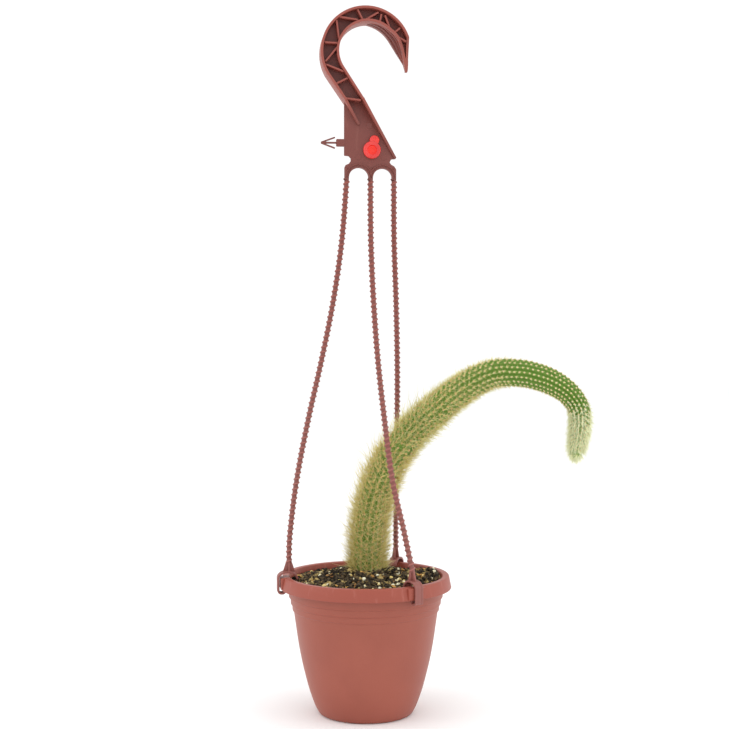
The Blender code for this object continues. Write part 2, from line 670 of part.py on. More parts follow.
def make_hook(holder, plastic):
    """Hook and plate: flanges round a thin web, stiffened by slanting ribs, with a barbed tag at the left."""
    outer, inner = hook_paths()
    flange = FLANGE / MM
    full = (-HOOK_HALF_DEPTH, HOOK_HALF_DEPTH)
    deeper = (-HOOK_HALF_DEPTH - 0.05 * MM, HOOK_HALF_DEPTH + 0.05 * MM)
    hook = add_object("hook_plate", slab("hook_plate", plate_outline(), -PLATE_HALF, PLATE_HALF), plastic)
    web = offset_path(outer, 0.6)[1:] + offset_path(inner, -0.6)[::-1]
    meshes = [
        slab("web", web, -WEB_HALF, WEB_HALF),
        slab("outer_flange", strip(outer, flange, 0), *full),
        slab("inner_flange", strip(inner, 0, flange), *deeper),
        slab("beak_wedge", BEAK_WEDGE, -HOOK_HALF_DEPTH + 0.1 * MM, HOOK_HALF_DEPTH - 0.1 * MM),
    ]
    backing = [point for point in offset_path(inner, -0.9) if point[1] > BEAK_WEDGE[0][1]]
    backing = [point for point in backing if point[0] > LIP_PATH[0][0]]
    for share, near in ((LIP_HALF, -2 * MM), (1, 1.5 * MM)):
        lip = []
        for x, z in LIP_PATH:
            over = min(backing, key=lambda point: (point[0] - x) ** 2 + (point[1] - z) ** 2)
            lip.append((over[0] + (x - over[0]) * share, over[1] + (z - over[1]) * share))
        meshes.append(slab("lip", lip + backing, near, HOOK_HALF_DEPTH - 0.15 * MM))
    for index, (x0, z0, x1, z1) in enumerate(HOOK_RIBS):
        run = Vector((x1 - x0, z1 - z0)).normalized() * 0.5
        start = (x0 - run.x, z0 - run.y)
        end = (x1 + run.x, z1 + run.y)
        depths = (-HOOK_RIB_HALF_DEPTH, HOOK_RIB_HALF_DEPTH)
        meshes.append(tapered_bar(f"rib_{index}", start, end, HOOK_RIB_WIDTH, depths, depths))
    deep = (-HOOK_HALF_DEPTH + 0.05 * MM, HOOK_HALF_DEPTH - 0.05 * MM)
    meshes.append(tapered_bar("free_rib", *FREE_RIB, FLANGE, deep, (-3 * MM, 3 * MM)))
    meshes.append(tapered_bar("edge_rib", *EDGE_RIB, FLANGE, deep, (-2 * MM, 2 * MM)))
    for x, z, radius in ARCHES:
        bead = arc((x, z), radius - 0.1, 180, 0, 12) + arc((x, z), radius + ARCH_BEAD, 0, 180, 12)
        meshes.append(slab("bead", bead, -1.8 * MM, 1.8 * MM))
    for x in STRAND_ROOTS:
        half = STRAND_RADIUS / MM + 0.05
        root_top = PLATE_SHOULDERS - 0.2
        root = ((x - half, ROOT_Z + 0.1), (x + half, ROOT_Z + 0.1), (x + half, root_top), (x - half, root_top))
        meshes.append(slab("strand_root", root, -STRAND_RADIUS, STRAND_RADIUS))
    boss = ((-22.1, TAG_Z - 2.8), (-15.8, TAG_Z - 2.8), (-15.8, TAG_Z + 2.8), (-22.1, TAG_Z + 2.8))
    meshes.append(slab("tag_boss", boss, -1.6 * MM, 1.6 * MM))
    shaft = (-0.8 * MM, 0.8 * MM)
    meshes.append(tapered_bar("tag_shaft", (-21.6, TAG_Z), (TAG_TIP_X, TAG_Z), 1.4 * MM, shaft, shaft))
    barb = (-0.7 * MM, 0.7 * MM)
    for side in (-1, 1):
        start = (TAG_TIP_X + 0.6, TAG_Z + 0.15 * side)
        end = (TAG_BARB_X, TAG_Z + TAG_BARB_RISE * side)
        meshes.append(tapered_bar("tag_barb", start, end, 1.2 * MM, barb, barb))
    combine(hook, meshes)
    taper_beak(hook)
    hole_centre = (PLUG_CENTRE[0] * MM, 0, PLUG_CENTRE[1] * MM)
    hole = disc_mesh("plug_hole", hole_centre, (0, 1, 0), PLUG_HOLE, 8 * MM, 20)
    combine(hook, [hole], "DIFFERENCE")
    hook.parent = holder
    shade(hook, 30)


def make_plug(holder):
    """The red plug snaps through the plate: round head with a recess and a lobe, shank, and barb behind."""
    front = PLATE_HALF + GAP
    shank = PLUG_HOLE - GAP
    face = front + PLUG_THICKNESS
    recess = face - PLUG_RECESS_DEPTH
    profile = [
        (0, recess), (PLUG_RECESS - 0.4 * MM, recess), (PLUG_RECESS, face), (PLUG_HEAD - 0.6 * MM, face),
        (PLUG_HEAD, face - 0.6 * MM), (PLUG_HEAD, front), (shank, front), (shank, -front),
        (PLUG_BARB, -front), (shank - 0.4 * MM, -front - 2.2 * MM), (0, -front - 2.2 * MM),
    ]
    plug = turned("red_plug", profile, 20, material("red_plastic", (0.78, 0.035, 0.03), 0.35))
    plug.data.transform(Matrix.Rotation(math.radians(90), 4, "X"))
    plug.data.transform(Matrix.Translation((PLUG_CENTRE[0] * MM, 0, PLUG_CENTRE[1] * MM)))
    lobe_centre = (LOBE_CENTRE[0] * MM, -front - PLUG_THICKNESS / 2 + 0.15 * MM, LOBE_CENTRE[1] * MM)
    lobe = disc_mesh("lobe", lobe_centre, (0, 1, 0), LOBE_RADIUS, PLUG_THICKNESS - 0.5 * MM, 14)
    combine(plug, [lobe])
    plug.parent = holder
    shade(plug, 35)


def main():
    clear_scene()
    plastic = material("hanger_plastic", (0.24, 0.085, 0.07), 0.4)
    holder = bpy.data.objects.new("hanger", None)
    holder.rotation_euler = (0, 0, math.radians(HOOK_YAW))
    bpy.context.scene.collection.objects.link(holder)
    make_pot()
    make_potting_mix()
    make_cactus_stem()
    make_hook(holder, plastic)
    make_plug(holder)
    make_strands(plastic)
    make_clips(plastic)


main()
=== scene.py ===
"""Potted monkey tail cactus in a hanging pot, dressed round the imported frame.

Sizes are in metres, in the frame's own axes. The origin is where the hook bears on its rail.
+X runs to the viewer's right, +Y away from the viewer and +Z up.
"""

import math
import random
from contextlib import contextmanager

import bpy
import numpy as np
from mathutils import Matrix, Vector, noise


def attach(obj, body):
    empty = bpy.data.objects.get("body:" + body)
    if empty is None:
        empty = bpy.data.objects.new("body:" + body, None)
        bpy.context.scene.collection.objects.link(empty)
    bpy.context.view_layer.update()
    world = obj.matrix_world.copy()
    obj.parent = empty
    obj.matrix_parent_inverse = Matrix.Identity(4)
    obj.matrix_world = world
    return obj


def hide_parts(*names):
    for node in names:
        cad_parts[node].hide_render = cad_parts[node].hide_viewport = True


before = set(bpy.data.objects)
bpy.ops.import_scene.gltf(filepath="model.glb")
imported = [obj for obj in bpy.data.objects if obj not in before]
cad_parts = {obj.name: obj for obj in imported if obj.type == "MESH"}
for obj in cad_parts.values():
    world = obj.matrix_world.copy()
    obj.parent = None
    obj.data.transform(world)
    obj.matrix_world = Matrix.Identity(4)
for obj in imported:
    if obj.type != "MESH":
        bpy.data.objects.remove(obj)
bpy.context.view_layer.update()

# Camera.
# A long lens on a stand, a metre in front of the pot and half way up its hanger, looks almost
# level, so the rim shows as a thin ellipse and the foot as a rounder one.
CAMERA_AT = (-0.00096, -1.03977, -0.22244)
CAMERA_TILT_DOWN = 0.759
CAMERA_LENS = 69.193
CAMERA_SENSOR = 36
CAMERA_SHIFT = -0.03
CAMERA_NEAREST = 0.01


def new_object(name, data):
    made = bpy.data.objects.new(name, data)
    bpy.context.scene.collection.objects.link(made)
    return made


camera = new_object("camera", bpy.data.cameras.new("camera"))
camera.location = CAMERA_AT
camera.rotation_euler = (math.radians(90 - CAMERA_TILT_DOWN), 0, 0)
camera.data.lens = CAMERA_LENS
camera.data.sensor_width = CAMERA_SENSOR
camera.data.shift_y = CAMERA_SHIFT
camera.data.clip_start = CAMERA_NEAREST
bpy.context.scene.camera = camera

# Studio.
# A white floor just under the pot, a white tent all round, and large soft boxes at both sides and
# above, which put a pale sheen on the turned flanks. None of it is part of the object.
FLOOR_Z = -0.5108
FLOOR_SIZE = 12
FLOOR_COLOUR = (0.97, 0.97, 0.97, 1)
TENT_COLOUR = (1.0, 1.0, 1.0, 1)
TENT_STRENGTH = 1.06
# Each soft box: its name, place, size and power.
SOFT_BOXES = (
    ("key", (-1.1, -0.35, 0.25), 0.8, 3.0),
    ("fill", (1.1, -0.35, 0.15), 0.8, 2.4),
    ("top", (0.1, -0.2, 1.0), 1.2, 3.0),
)
LIT_POINT = Vector((0.02, 0, -0.32))


def primitive(add, name, **settings):
    """A new primitive with its place in its mesh. Nothing else is selected."""
    bpy.ops.object.select_all(action="DESELECT")
    add(**settings)
    piece = bpy.context.object
    piece.name = name
    bpy.ops.object.transform_apply()
    return piece


floor = primitive(bpy.ops.mesh.primitive_plane_add, "floor", size=FLOOR_SIZE, location=(0, 0, FLOOR_Z))
floor_paint = bpy.data.materials.new("floor_paint")
floor_paint.use_nodes = True
floor_shader = floor_paint.node_tree.nodes["Principled BSDF"]
floor_shader.inputs["Base Color"].default_value = FLOOR_COLOUR
floor_shader.inputs["Roughness"].default_value = 0.9
floor_shader.inputs["Specular IOR Level"].default_value = 0.1
floor.data.materials.append(floor_paint)

tent = bpy.data.worlds.new("tent")
tent.use_nodes = True
tent.node_tree.nodes["Background"].inputs["Color"].default_value = TENT_COLOUR
tent.node_tree.nodes["Background"].inputs["Strength"].default_value = TENT_STRENGTH
bpy.context.scene.world = tent
bpy.context.scene.view_settings.view_transform = "Standard"

for box_name, place, size, power in SOFT_BOXES:
    lamp = new_object(box_name, bpy.data.lights.new(box_name, "AREA"))
    lamp.location = place
    lamp.rotation_euler = (LIT_POINT - Vector(place)).to_track_quat("-Z", "Y").to_euler()
    lamp.data.size = size
    lamp.data.energy = power

# Pot.
# One injection moulding in brown-red plastic: tapered body, three stepped rings, a rim folded
# out and down into a skirt, flat pads where the clips grip, and drain holes in a raised floor.
POT_BASE = -0.5106
POT_HEIGHT = 0.1022
RIM_Z = POT_BASE + POT_HEIGHT
POT_SIDES = 144
# Radius and height above the base (mm): under the floor, up the outside over the rings, out and up
# round the skirt, over the rim and down the inside.
POT_STATIONS = (
    (28.6, 0.9), (30.9, 0.85), (31.5, 0.3), (31.9, 0.0), (32.9, 0.0), (33.6, 0.1), (34.4, 0.4), (35.0, 0.9),
    (35.5, 1.6), (36.2, 2.9), (37.9, 6.2), (39.6, 10.6), (41.2, 15.2), (43.0, 21.0), (44.6, 27.0),
    (46.1, 32.9), (47.5, 38.9), (48.7, 44.8), (49.8, 50.8), (50.75, 56.7), (51.6, 62.7), (52.6, 69.8),
    (53.45, 75.6), (53.5, 75.9), (53.75, 76.25), (54.25, 76.45), (54.45, 76.8), (54.5, 77.3),
    (54.65, 80.3), (54.75, 80.65), (55.3, 80.95), (55.65, 81.3), (55.75, 81.8),
    (55.95, 85.5), (56.05, 85.85), (56.75, 86.1), (57.1, 86.4), (57.2, 86.9),
    (57.3, 98.6), (57.6, 100.0), (58.3, 100.65), (59.6, 100.7), (60.4, 100.5), (60.7, 99.8),
    (62.0, 93.6), (62.2, 92.95), (62.55, 92.8), (63.0, 92.8), (63.35, 93.0), (63.5, 93.5),
    (62.35, 99.0), (61.95, 101.1), (61.8, 101.65), (61.4, 102.05), (60.8, 102.2),
    (59.4, 102.15), (58.0, 102.2), (57.4, 102.05), (57.05, 101.7), (56.9, 101.2), (56.5, 100.2), (56.0, 98.6),
    (55.9, 86.6), (54.3, 80.9), (52.7, 76.4), (50.2, 62.7), (48.4, 50.8), (46.1, 38.9), (43.2, 27.0),
    (39.8, 15.2), (36.5, 6.2), (34.9, 3.0), (33.8, 2.0), (32.6, 1.7), (25.0, 1.6),
)
CLIP_ANGLES = {"left": 189, "front": -55, "rear": 66}
PAD_SIZE = (0.0026, 0.0150, 0.0080)
PAD_MIDDLE_RADIUS = 0.0626
PAD_MIDDLE_HEIGHT = 0.0976
PAD_BEVEL = 0.0004
DRAIN_CIRCLE = 0.020
DRAIN_RADIUS = 0.0035
DRAIN_COUNT = 4
DRAIN_SIDES = 32
DRAIN_CUT = 0.006
DRAIN_CUT_MIDDLE = 0.001


def select_only(piece):
    bpy.ops.object.select_all(action="DESELECT")
    piece.select_set(True)
    bpy.context.view_layer.objects.active = piece


@contextmanager
def editing(face_out=False):
    """Edit mode, with everything selected. At its end the faces may be turned to point outwards."""
    bpy.ops.object.mode_set(mode="EDIT")
    bpy.ops.mesh.select_all(action="SELECT")
    yield
    if face_out:
        bpy.ops.mesh.select_all(action="SELECT")
        bpy.ops.mesh.normals_make_consistent(inside=False)
    bpy.ops.object.mode_set(mode="OBJECT")


def turned_up(name, sides, stations):
    """A filled circle extruded from station to station, each a radius and a height in millimetres."""
    radius, height = stations[0]
    piece = primitive(bpy.ops.mesh.primitive_circle_add, name, vertices=sides, radius=radius / 1000,
                      fill_type="NGON", location=(0, 0, height / 1000))
    with editing(face_out=True):
        for next_radius, next_height in stations[1:]:
            rise = (0, 0, (next_height - height) / 1000)
            bpy.ops.mesh.extrude_region_move(TRANSFORM_OT_translate={"value": rise})
            widen = next_radius / radius
            bpy.ops.transform.resize(value=(widen, widen, 1), center_override=(0, 0, next_height / 1000))
            radius, height = next_radius, next_height
    return piece


def apply_modifier(piece, kind, **settings):
    """Adds a modifier with its settings and applies it."""
    select_only(piece)
    modifier = piece.modifiers.new(kind.lower(), kind)
    for setting, value in settings.items():
        setattr(modifier, setting, value)
    bpy.ops.object.modifier_apply(modifier=modifier.name)


def merge_or_cut(piece, tool, operation):
    """Joins a second piece to the first, or cuts it out of it, and removes the second."""
    apply_modifier(piece, "BOOLEAN", object=tool, operation=operation, solver="EXACT")
    bpy.data.objects.remove(tool)


def block(name, place, size, rotation=(0, 0, 0), bevel=0.0):
    """A cube at its size and place with its edges bevelled."""
    piece = primitive(
        bpy.ops.mesh.primitive_cube_add, name, size=1, location=place, rotation=rotation, scale=size)
    if bevel:
        with editing():
            bpy.ops.mesh.bevel(offset=bevel, segments=2)
    return piece


def rod(name, sides, radius, length, place, rotation=(0, 0, 0)):
    """A round rod, upright unless it is turned, with its middle at its place."""
    return primitive(bpy.ops.mesh.primitive_cylinder_add, name, vertices=sides, radius=radius, depth=length,
                     location=place, rotation=rotation)


def smooth(piece, degrees):
    """Smooth shading, except across edges sharper than this many degrees."""
    select_only(piece)
    bpy.ops.object.shade_smooth_by_angle(angle=math.radians(degrees))


class Wire:
    """One socket of a shader. Sums on wires add Math nodes, and node() adds any other kind."""

    def __init__(self, tree, socket=None):
        self.tree = tree
        self.socket = socket

    def node(self, kind, values, output=0, stops=(), **settings):
        made = self.tree.nodes.new("ShaderNode" + kind)
        for setting, value in settings.items():
            setattr(made, setting, value)
        for index, (place, colour) in enumerate(stops):
            points = made.color_ramp.elements
            stop = points[index] if index < 2 else points.new(place)
            stop.position = place
            stop.color = (*colour, 1)
        for name, value in values.items():
            if isinstance(value, Wire):
                self.tree.links.new(value.socket, made.inputs[name])
            else:
                made.inputs[name].default_value = value
        return Wire(self.tree, made.outputs[output])

    def mix(self, low, high):
        """Blends two colours: low where this wire is 0 and high where it is 1."""
        ends = [c if isinstance(c, Wire) else (*c, 1) for c in (low, high)]
        return self.node("Mix", {0: self, 6: ends[0], 7: ends[1]}, output=2, data_type="RGBA")

    def grain(self, scale, detail=3.0, stretch=(1, 1, 1)):
        """Noise on the piece's own coordinates, scale cells to the metre."""
        place = self.node("TexCoord", {}, output=3)
        turned = self.node("Mapping", {"Vector": place, "Scale": stretch})
        return self.node("TexNoise", {"Vector": turned, "Scale": scale, "Detail": detail})

    def place(self, axis):
        """One of the piece's own coordinates, in metres: 0, 1 or 2 for x, y or z."""
        return self.node("SeparateXYZ", {0: self.node("TexCoord", {}, output=3)}, output=axis)

    def marked(self, name):
        """The value that each vertex of the piece is marked with."""
        return self.node("Attribute", {}, output=2, attribute_name=name)

    def between(self, low, high):
        """0 below low, 1 above high, and smooth in between."""
        return self.node("MapRange", {"Value": self, "From Min": low, "From Max": high},
                         interpolation_type="SMOOTHSTEP")

    def math(self, operation, first, second):
        return self.node("Math", {0: first, 1: second}, operation=operation)

    def __add__(self, other):
        return self.math("ADD", self, other)

    __radd__ = __add__

    def __sub__(self, other):
        return self.math("SUBTRACT", self, other)

    def __rsub__(self, other):
        return self.math("SUBTRACT", other, self)

    def __mul__(self, other):
        return self.math("MULTIPLY", self, other)

    __rmul__ = __mul__


def new_finish(name, **constants):
    """A new material with its constant sockets set; returns it, its shader and a wire to start from."""
    made = bpy.data.materials.new(name)
    made.use_nodes = True
    shader = made.node_tree.nodes["Principled BSDF"]
    for socket, value in constants.items():
        shader.inputs[socket.replace("_", " ")].default_value = value
    return made, shader, Wire(made.node_tree)


def feed(shader, **wires):
    """Links wires to the shader: Base_Color, Roughness and, through a Bump node, Bump=(height, metres)."""
    for socket, wire in wires.items():
        if socket == "Bump":
            height, reach = wire
            socket = "Normal"
            wire = height.node("Bump", {"Height": height, "Distance": reach, "Strength": 1.0})
        wire.tree.links.new(wire.socket, shader.inputs[socket.replace("_", " ")])


pot = turned_up("pot_shell", POT_SIDES, [(r, h + POT_BASE * 1000) for r, h in POT_STATIONS])
for clip_name, clip_angle in CLIP_ANGLES.items():
    turn = math.radians(clip_angle)
    pad_x, pad_y = PAD_MIDDLE_RADIUS * math.cos(turn), PAD_MIDDLE_RADIUS * math.sin(turn)
    pad_at = (pad_x, pad_y, POT_BASE + PAD_MIDDLE_HEIGHT)
    merge_or_cut(pot, block("pad", pad_at, PAD_SIZE, (0, 0, turn), PAD_BEVEL), "UNION")
for drain in range(DRAIN_COUNT):
    turn = math.tau * (drain + 0.5) / DRAIN_COUNT
    drain_at = (DRAIN_CIRCLE * math.cos(turn), DRAIN_CIRCLE * math.sin(turn), POT_BASE + DRAIN_CUT_MIDDLE)
    merge_or_cut(pot, rod("drain", DRAIN_SIDES, DRAIN_RADIUS, DRAIN_CUT, drain_at), "DIFFERENCE")
smooth(pot, 32)

pot_plastic, pot_shader, pot_wire = new_finish("pot_plastic_satin", Specular_IOR_Level=0.42)
pot_cloud = pot_wire.grain(22, 4)
pot_speck = pot_wire.grain(900, 2)
on_rim = pot_wire.place(2).between(RIM_Z - 0.0105, RIM_Z - 0.0090)
# Painted highlight: pale vertical streaks on the rim stand in for the soft boxes' reflections. The same
# streaks also make the rim a little rougher.
rim_painted_highlight_streak = pot_wire.grain(300, 4, (1, 1, 0.1)).between(0.56, 0.74) * on_rim
pot_colour = pot_cloud.between(0.3, 0.7).mix((0.300, 0.073, 0.046), (0.334, 0.085, 0.054))
# Painted shade: the rim gets a redder, less pale colour than the body of the same moulding, standing in for
# the weaker sheen on the rim's front.
pot_colour = on_rim.mix(pot_colour, (0.314, 0.068, 0.043))
pot_colour = (rim_painted_highlight_streak * 0.35).mix(pot_colour, (0.50, 0.19, 0.15))
feed(
    pot_shader,
    Base_Color=pot_colour,
    Roughness=0.40 + 0.10 * pot_cloud + 0.06 * rim_painted_highlight_streak,
    Bump=(pot_speck + 0.6 * pot_cloud, 0.00006),
)
pot.data.materials.append(pot_plastic)
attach(pot, "root")
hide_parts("pot")

# Potting mix.
# Peat and fine bark fill the pot almost to its rim, mounded at the stem and heaped at the right.
# Loose peat crumbs, cream perlite and orange bark chips lie on top, as the mix was poured in.
STEM_FOOT = (0.0017, 0.0149)
MIX_EDGE_LEVEL = -0.0050
MIX_MOUND = 0.0063
MIX_MOUND_WIDTH = 0.030
MIX_BACK_DROP = 0.0032
MIX_HEAP = 0.0065
MIX_HEAP_ANGLE = 0.35
MIX_HEAP_WIDTH = 0.3
MIX_RADIUS = 0.0556
MIX_SIDES = 96
# Radius and height above the pot's base (mm), up the inside of the pot's wall.
MIX_WALL = ((31.6, 2.0), (36.0, 6.2), (39.3, 15.2), (42.7, 27.0), (45.6, 38.9), (47.9, 50.8), (52.0, 76.0),
            (55.3, 86.4), (55.7, 94.0))
MIX_TOP_RINGS = 34
# Two sizes of lump on the surface: layer of the noise, lumps to the metre, and height.
MIX_LUMPS = ((0, 260, 0.0013), (3, 700, 0.0007))
# Each kind of crumb: how many, their smallest and largest size, and the shapes they come in,
# each with how it is stretched and how far its corners are pushed about.
CRUMBS = {
    "peat": (1450, (0.0014, 0.0042), [((1, 1, 0.8), 0.16), ((1.2, 0.8, 0.6), 0.2), ((0.8, 1, 1), 0.14)]),
    "perlite": (110, (0.0016, 0.0036), [((1, 0.9, 0.8), 0.08), ((0.9, 1.1, 0.9), 0.1)]),
    "bark": (170, (0.0018, 0.0046), [((1.3, 0.7, 0.35), 0.1), ((1.5, 0.5, 0.3), 0.08)]),
}
CRUMB_SPREAD = 0.985
CRUMB_TILTS = (0.6, 0.6, math.pi)
CRUMB_LIFT = (0.15, 0.55)
STEM_CLEARANCE = 0.0105


def mix_level(x, y):
    """The height of the mix: a mound at the stem, low at the back, heaped at the right."""
    from_stem = math.hypot(x - STEM_FOOT[0], y - STEM_FOOT[1])
    angle = math.atan2(y, x)
    outward = min(math.hypot(x, y) / MIX_RADIUS, 1) ** 3
    level = MIX_EDGE_LEVEL + MIX_MOUND * math.exp(-((from_stem / MIX_MOUND_WIDTH) ** 2))
    level -= MIX_BACK_DROP * outward * max(math.sin(angle), 0)
    level += MIX_HEAP * outward * math.exp(-(((angle - MIX_HEAP_ANGLE) / MIX_HEAP_WIDTH) ** 2))
    return RIM_Z + level


mix_stations = [(r, h + POT_BASE * 1000) for r, h in MIX_WALL]
mix_edge = RIM_Z + MIX_EDGE_LEVEL
for ring in range(MIX_TOP_RINGS):
    share = 1 - ring / MIX_TOP_RINGS
    mix_stations.append((MIX_RADIUS * share * 1000, mix_edge * 1000))
mix = turned_up("potting_mix_body", MIX_SIDES, mix_stations)
for vertex in mix.data.vertices:
    x, y, z = vertex.co
    if z > mix_edge - 0.0001:
        lumps = [noise.noise(Vector((x, y, layer)) * scale) * height for layer, scale, height in MIX_LUMPS]
        vertex.co.z = mix_level(x, y) + sum(lumps)
smooth(mix, 60)


def rough_lump(name, seed, stretch, jitter):
    """A small stone-like lump about one unit across, from an icosphere with its corners pushed about."""
    lump = primitive(bpy.ops.mesh.primitive_ico_sphere_add, name, subdivisions=2, radius=0.5)
    with editing():
        bpy.ops.transform.vertex_random(offset=jitter, seed=seed)
        bpy.ops.transform.resize(value=stretch, center_override=(0, 0, 0))
    return lump


def copies_of(name, patterns, placements):
    """One piece made of many copies: each placement is a pattern's index and a matrix."""
    corners = [np.array([v.co for v in p.data.vertices]) for p in patterns]
    faces = [np.array([f.vertices for f in p.data.polygons]) for p in patterns]
    points, sides, start = [], [], 0
    for index, matrix in placements:
        turned = np.array(matrix)
        points.append(corners[index] @ turned[:3, :3].T + turned[:3, 3])
        sides.append(faces[index] + start)
        start += len(corners[index])
    mesh = bpy.data.meshes.new(name)
    mesh.from_pydata(np.vstack(points).tolist(), [], [face for group in sides for face in group.tolist()])
    for pattern in patterns:
        bpy.data.objects.remove(pattern)
    return new_object(name, mesh)


crumb_random = random.Random(21)
crumbs = {}
for kind, (count, crumb_sizes, shapes) in CRUMBS.items():
    patterns = [rough_lump(kind, seed, stretch, jitter) for seed, (stretch, jitter) in enumerate(shapes, 4)]
    placements = []
    while len(placements) < count:
        angle = crumb_random.uniform(0, math.tau)
        reach = MIX_RADIUS * math.sqrt(crumb_random.random()) * CRUMB_SPREAD
        size = crumb_random.uniform(*crumb_sizes)
        x, y = reach * math.cos(angle), reach * math.sin(angle)
        from_stem = math.hypot(x - STEM_FOOT[0], y - STEM_FOOT[1])
        if from_stem < STEM_CLEARANCE or reach + size / 2 > MIX_RADIUS:
            continue
        tilt = [crumb_random.uniform(-limit, limit) for limit in CRUMB_TILTS]
        lift = size * crumb_random.uniform(*CRUMB_LIFT)
        matrix = Matrix.Translation((x, y, mix_level(x, y) + lift))
        for way, turn in zip("XYZ", tilt):
            matrix = matrix @ Matrix.Rotation(turn, 4, way)
        placements.append((crumb_random.randrange(len(patterns)), matrix @ Matrix.Scale(size, 4)))
    crumbs[kind] = copies_of(kind + "_crumbs", patterns, placements)
    smooth(crumbs[kind], 50)

peat_finish, peat_shader, peat_wire = new_finish("damp_peat", Roughness=0.9, Specular_IOR_Level=0.25)
peat_grain = peat_wire.grain(420, 5)
peat_patch = peat_wire.grain(140, 3)
peat_colour = peat_grain.between(0.38, 0.7).mix((0.012, 0.009, 0.006), (0.130, 0.090, 0.046))
peat_colour = peat_patch.between(0.56, 0.64).mix(peat_colour, (0.42, 0.310, 0.120))
peat_colour = peat_wire.grain(260, 2).between(0.60, 0.68).mix(peat_colour, (0.018, 0.013, 0.010))
feed(peat_shader, Base_Color=peat_colour, Bump=(peat_grain, 0.0009))
perlite_finish, perlite_shader, perlite_wire = new_finish("perlite", Roughness=0.85, Specular_IOR_Level=0.3)
perlite_grain = perlite_wire.grain(600, 4)
perlite_colour = perlite_wire.grain(90, 1).between(0.35, 0.6).mix((0.78, 0.60, 0.20), (0.86, 0.82, 0.60))
perlite_colour = perlite_grain.between(0.55, 0.8).mix(perlite_colour, (0.25, 0.18, 0.09))
feed(perlite_shader, Base_Color=perlite_colour, Bump=(perlite_grain, 0.0004))
bark_finish, bark_shader, bark_wire = new_finish("bark_chips", Roughness=0.8, Specular_IOR_Level=0.3)
bark_grain = bark_wire.grain(500, 4, (1, 4, 1))
bark_colour = bark_wire.grain(75, 1).between(0.35, 0.65).mix((0.22, 0.10, 0.03), (0.72, 0.40, 0.11))
bark_colour = bark_grain.between(0.5, 0.75).mix(bark_colour, (0.09, 0.045, 0.02))
feed(bark_shader, Base_Color=bark_colour, Bump=(bark_grain, 0.0004))
for piece, finish in zip((mix, *crumbs.values()), (peat_finish, peat_finish, perlite_finish, bark_finish)):
    piece.data.materials.append(finish)
    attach(piece, "root")
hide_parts("potting_mix")

# Cactus stem.
# One grown stem, rooted in the mix, that arches over under its own weight. Its green skin has
# seventeen low ribs of small tubercles, staggered from rib to rib.
# Centre line and radius, without spines (mm).
STEM_LINE = (
    (1.7, 14.9, -405.7, 10.9), (1.7, 14.1, -389.3, 10.9), (3.9, 11.9, -367.1, 10.8),
    (8.8, 8.9, -345.8, 10.7), (19.2, 5.2, -322.5, 10.5), (29.6, 3.0, -308.2, 10.3),
    (41.4, 0.7, -295.3, 10.2), (52.3, -0.7, -286.0, 10.1), (63.9, -1.5, -276.0, 10.0),
    (80.1, -3.0, -265.1, 10.0), (94.9, -3.7, -259.1, 9.9), (108.1, -4.5, -258.4, 9.8),
    (121.3, -5.2, -259.9, 9.7), (136.4, -5.9, -264.9, 9.3), (149.1, -6.7, -273.2, 8.3),
    (156.6, -6.7, -283.6, 7.8), (158.1, -6.7, -294.6, 7.1), (157.1, -6.7, -305.5, 6.3),
    (155.9, -6.7, -312.5, 5.4), (155.2, -6.7, -317.1, 4.4),
)
RIBS = 17
RIB_DEPTH = 0.0012
TUBERCLE_RISE = 0.00035
RIB_STAGGER = 9
FULL_RIBS_RADIUS = 0.008
SIDES_PER_RIB = 6
STEM_ROWS = 460
AREOLE_SPACING = 0.0041
AREOLE_SPACING_AT_TIP = 0.0030
ARCH_START = 0.55
CLOSING_UP = 0.35
BURIED = 0.012
CURVE_STEPS = 40


def smooth_line(points, count):
    """Evenly spaced points on the smooth curve through the given ones, with any extra column."""
    given = np.array(points, float)
    padded = np.vstack([given[:1], given, given[-1:]])
    t = np.linspace(0, 1, CURVE_STEPS, endpoint=False)[:, None]
    fine = []
    for a, b, c, d in zip(padded, padded[1:], padded[2:], padded[3:]):
        squared, cubed = 2 * a - 5 * b + 4 * c - d, 3 * b - a - 3 * c + d
        fine.append(0.5 * (2 * b + (c - a) * t + squared * t**2 + cubed * t**3))
    fine = np.vstack([*fine, given[-1:]])
    run = np.concatenate([[0], np.cumsum(np.linalg.norm(np.diff(fine[:, :3], axis=0), axis=1))])
    even = np.linspace(0, run[-1], count)
    return np.stack([np.interp(even, run, column) for column in fine.T], axis=1)


def unit(ways):
    return ways / np.linalg.norm(ways, axis=-1, keepdims=True)


def mark(piece, name, values):
    """Gives each vertex a value that the piece's material reads by this name."""
    piece.data.attributes.new(name, "FLOAT", "POINT").data.foreach_set("value", values.astype(np.float32))


line = smooth_line(STEM_LINE, STEM_ROWS) / 1000
stem_centre, stem_radius = line[:, :3], line[:, 3]
stem_run = np.concatenate([[0], np.cumsum(np.linalg.norm(np.diff(stem_centre, axis=0), axis=1))])
stem_along = unit(np.gradient(stem_centre, axis=0))
stem_across = unit(np.cross(stem_along, (0, 1, 0)))
stem_up = np.cross(stem_along, stem_across)
stem_share = stem_run / stem_run[-1]
closeness = np.clip((stem_share - ARCH_START) / CLOSING_UP, 0, 1)
spacing = AREOLE_SPACING + (AREOLE_SPACING_AT_TIP - AREOLE_SPACING) * closeness
areole_count = np.concatenate([[0], np.cumsum(np.diff(stem_run) / spacing[1:])])

